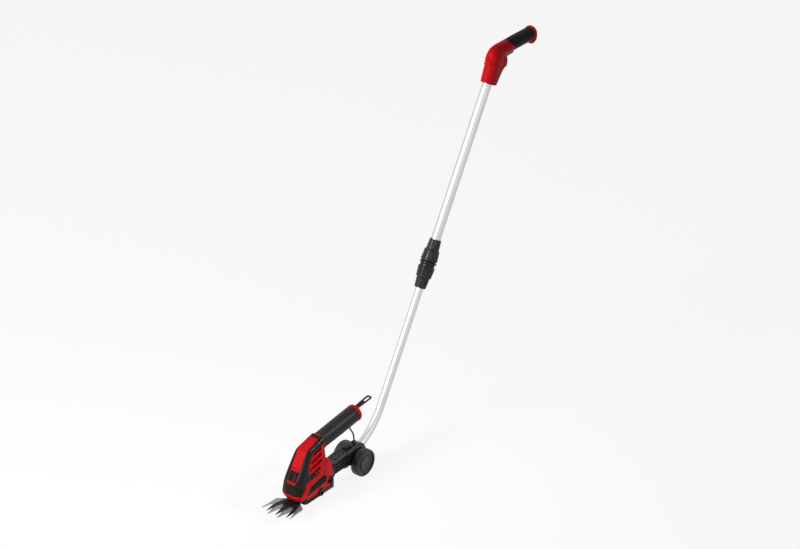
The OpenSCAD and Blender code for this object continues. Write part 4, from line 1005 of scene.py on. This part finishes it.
hand_turns = np.linspace(0, math.pi, 61)
shell_fine = finer(HAND_ROWS, 12, 6)
shell_rows = slice(len(shell_fine))
hand_fine = np.vstack([shell_fine, finer(CORE_ROWS, 10, 2), finer(END_ROWS, 6, 3)])
row_at = np.arange(len(hand_fine))[:, None]
hand = hand_half(hand_fine, hand_turns, step(FLAT_ROWS - row_at, 26))
hand_steps = np.linalg.norm(np.diff(hand_fine[:, :2], axis=0), axis=1)
front_at = np.concatenate([[0], np.cumsum(hand_steps)])[:, None]
rib_zone = step(0.95 - hand_turns[None], 0.3)
ribs = sum(np.exp(-((front_at - at) / RIB_HALF)**2) for at in RIBS_AT) * rib_zone
socket_edge = step(1.75 - hand_turns[None], 0.12) * step(SOCKET_ROWS - row_at, 5)
hand_relief = RIB_H * ribs + SOCKET_H * socket_edge
hand[shell_rows] = lifted(hand[shell_rows], hand_relief[shell_rows])
hand[..., 0] = np.maximum(hand[..., 0], 0)
for side, sign in SIDES:
    hand_piece = build(side + "_hand", capped(hand * [sign, 1, 1]), red_plastic, around=True)
    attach(hand_piece, "upper_pole")
    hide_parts(side + "_handle")

WRAP_ROWS = [[69, 79.2, 94, 46.7, 15.2], [100.3, 77.7, 112.3, 45.1, 15.2],
             [152.8, 73, 150.4, 41.5, 15.2]]
WRAP_TURN, WRAP_T, BARS, BAR_DEEP, EDGE_DEEP = 2.6, 1.2, 11, 1.1, 1.4
hand_rubber = moulded("hand_rubber", (0.007, 0.0068, 0.0068), 0.36, grain=1.1, relief=0.02,
                      cloud=0.14, shine=0.07)
wrap_turns = np.linspace(-WRAP_TURN, WRAP_TURN, 97)
wrap = hand_half(finer(WRAP_ROWS, 40, 3), np.abs(wrap_turns))
wrap[..., 0] *= np.sign(wrap_turns)[None]
wrap_at = np.arange(len(wrap))[:, None] / (len(wrap) - 1)
bars = step(np.cos(wrap_at * 2 * math.pi * BARS), 0.9) * step(1.5 - np.abs(wrap_turns)[None], 0.3)
bars = bars * step(np.minimum(wrap_at - 0.07, 0.93 - wrap_at), 0.05)
edge_in = np.minimum(np.minimum(wrap_at, 1 - wrap_at) * 80,
                     (WRAP_TURN - np.abs(wrap_turns))[None] * 15)
wrap_lift = -BAR_DEEP * bars - EDGE_DEEP * (1 - np.clip(edge_in / 1.2, 0, 1))**2
hand_wrap = build("hand_wrap", lifted(wrap, wrap_lift), hand_rubber,
                  away_from=HAND_FOOT + [0, 108, 60])
thicken(hand_wrap, WRAP_T)
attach(hand_wrap, "upper_pole")
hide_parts("handle_grip")
dress(["handle_trigger"], black_plastic, 0.5)
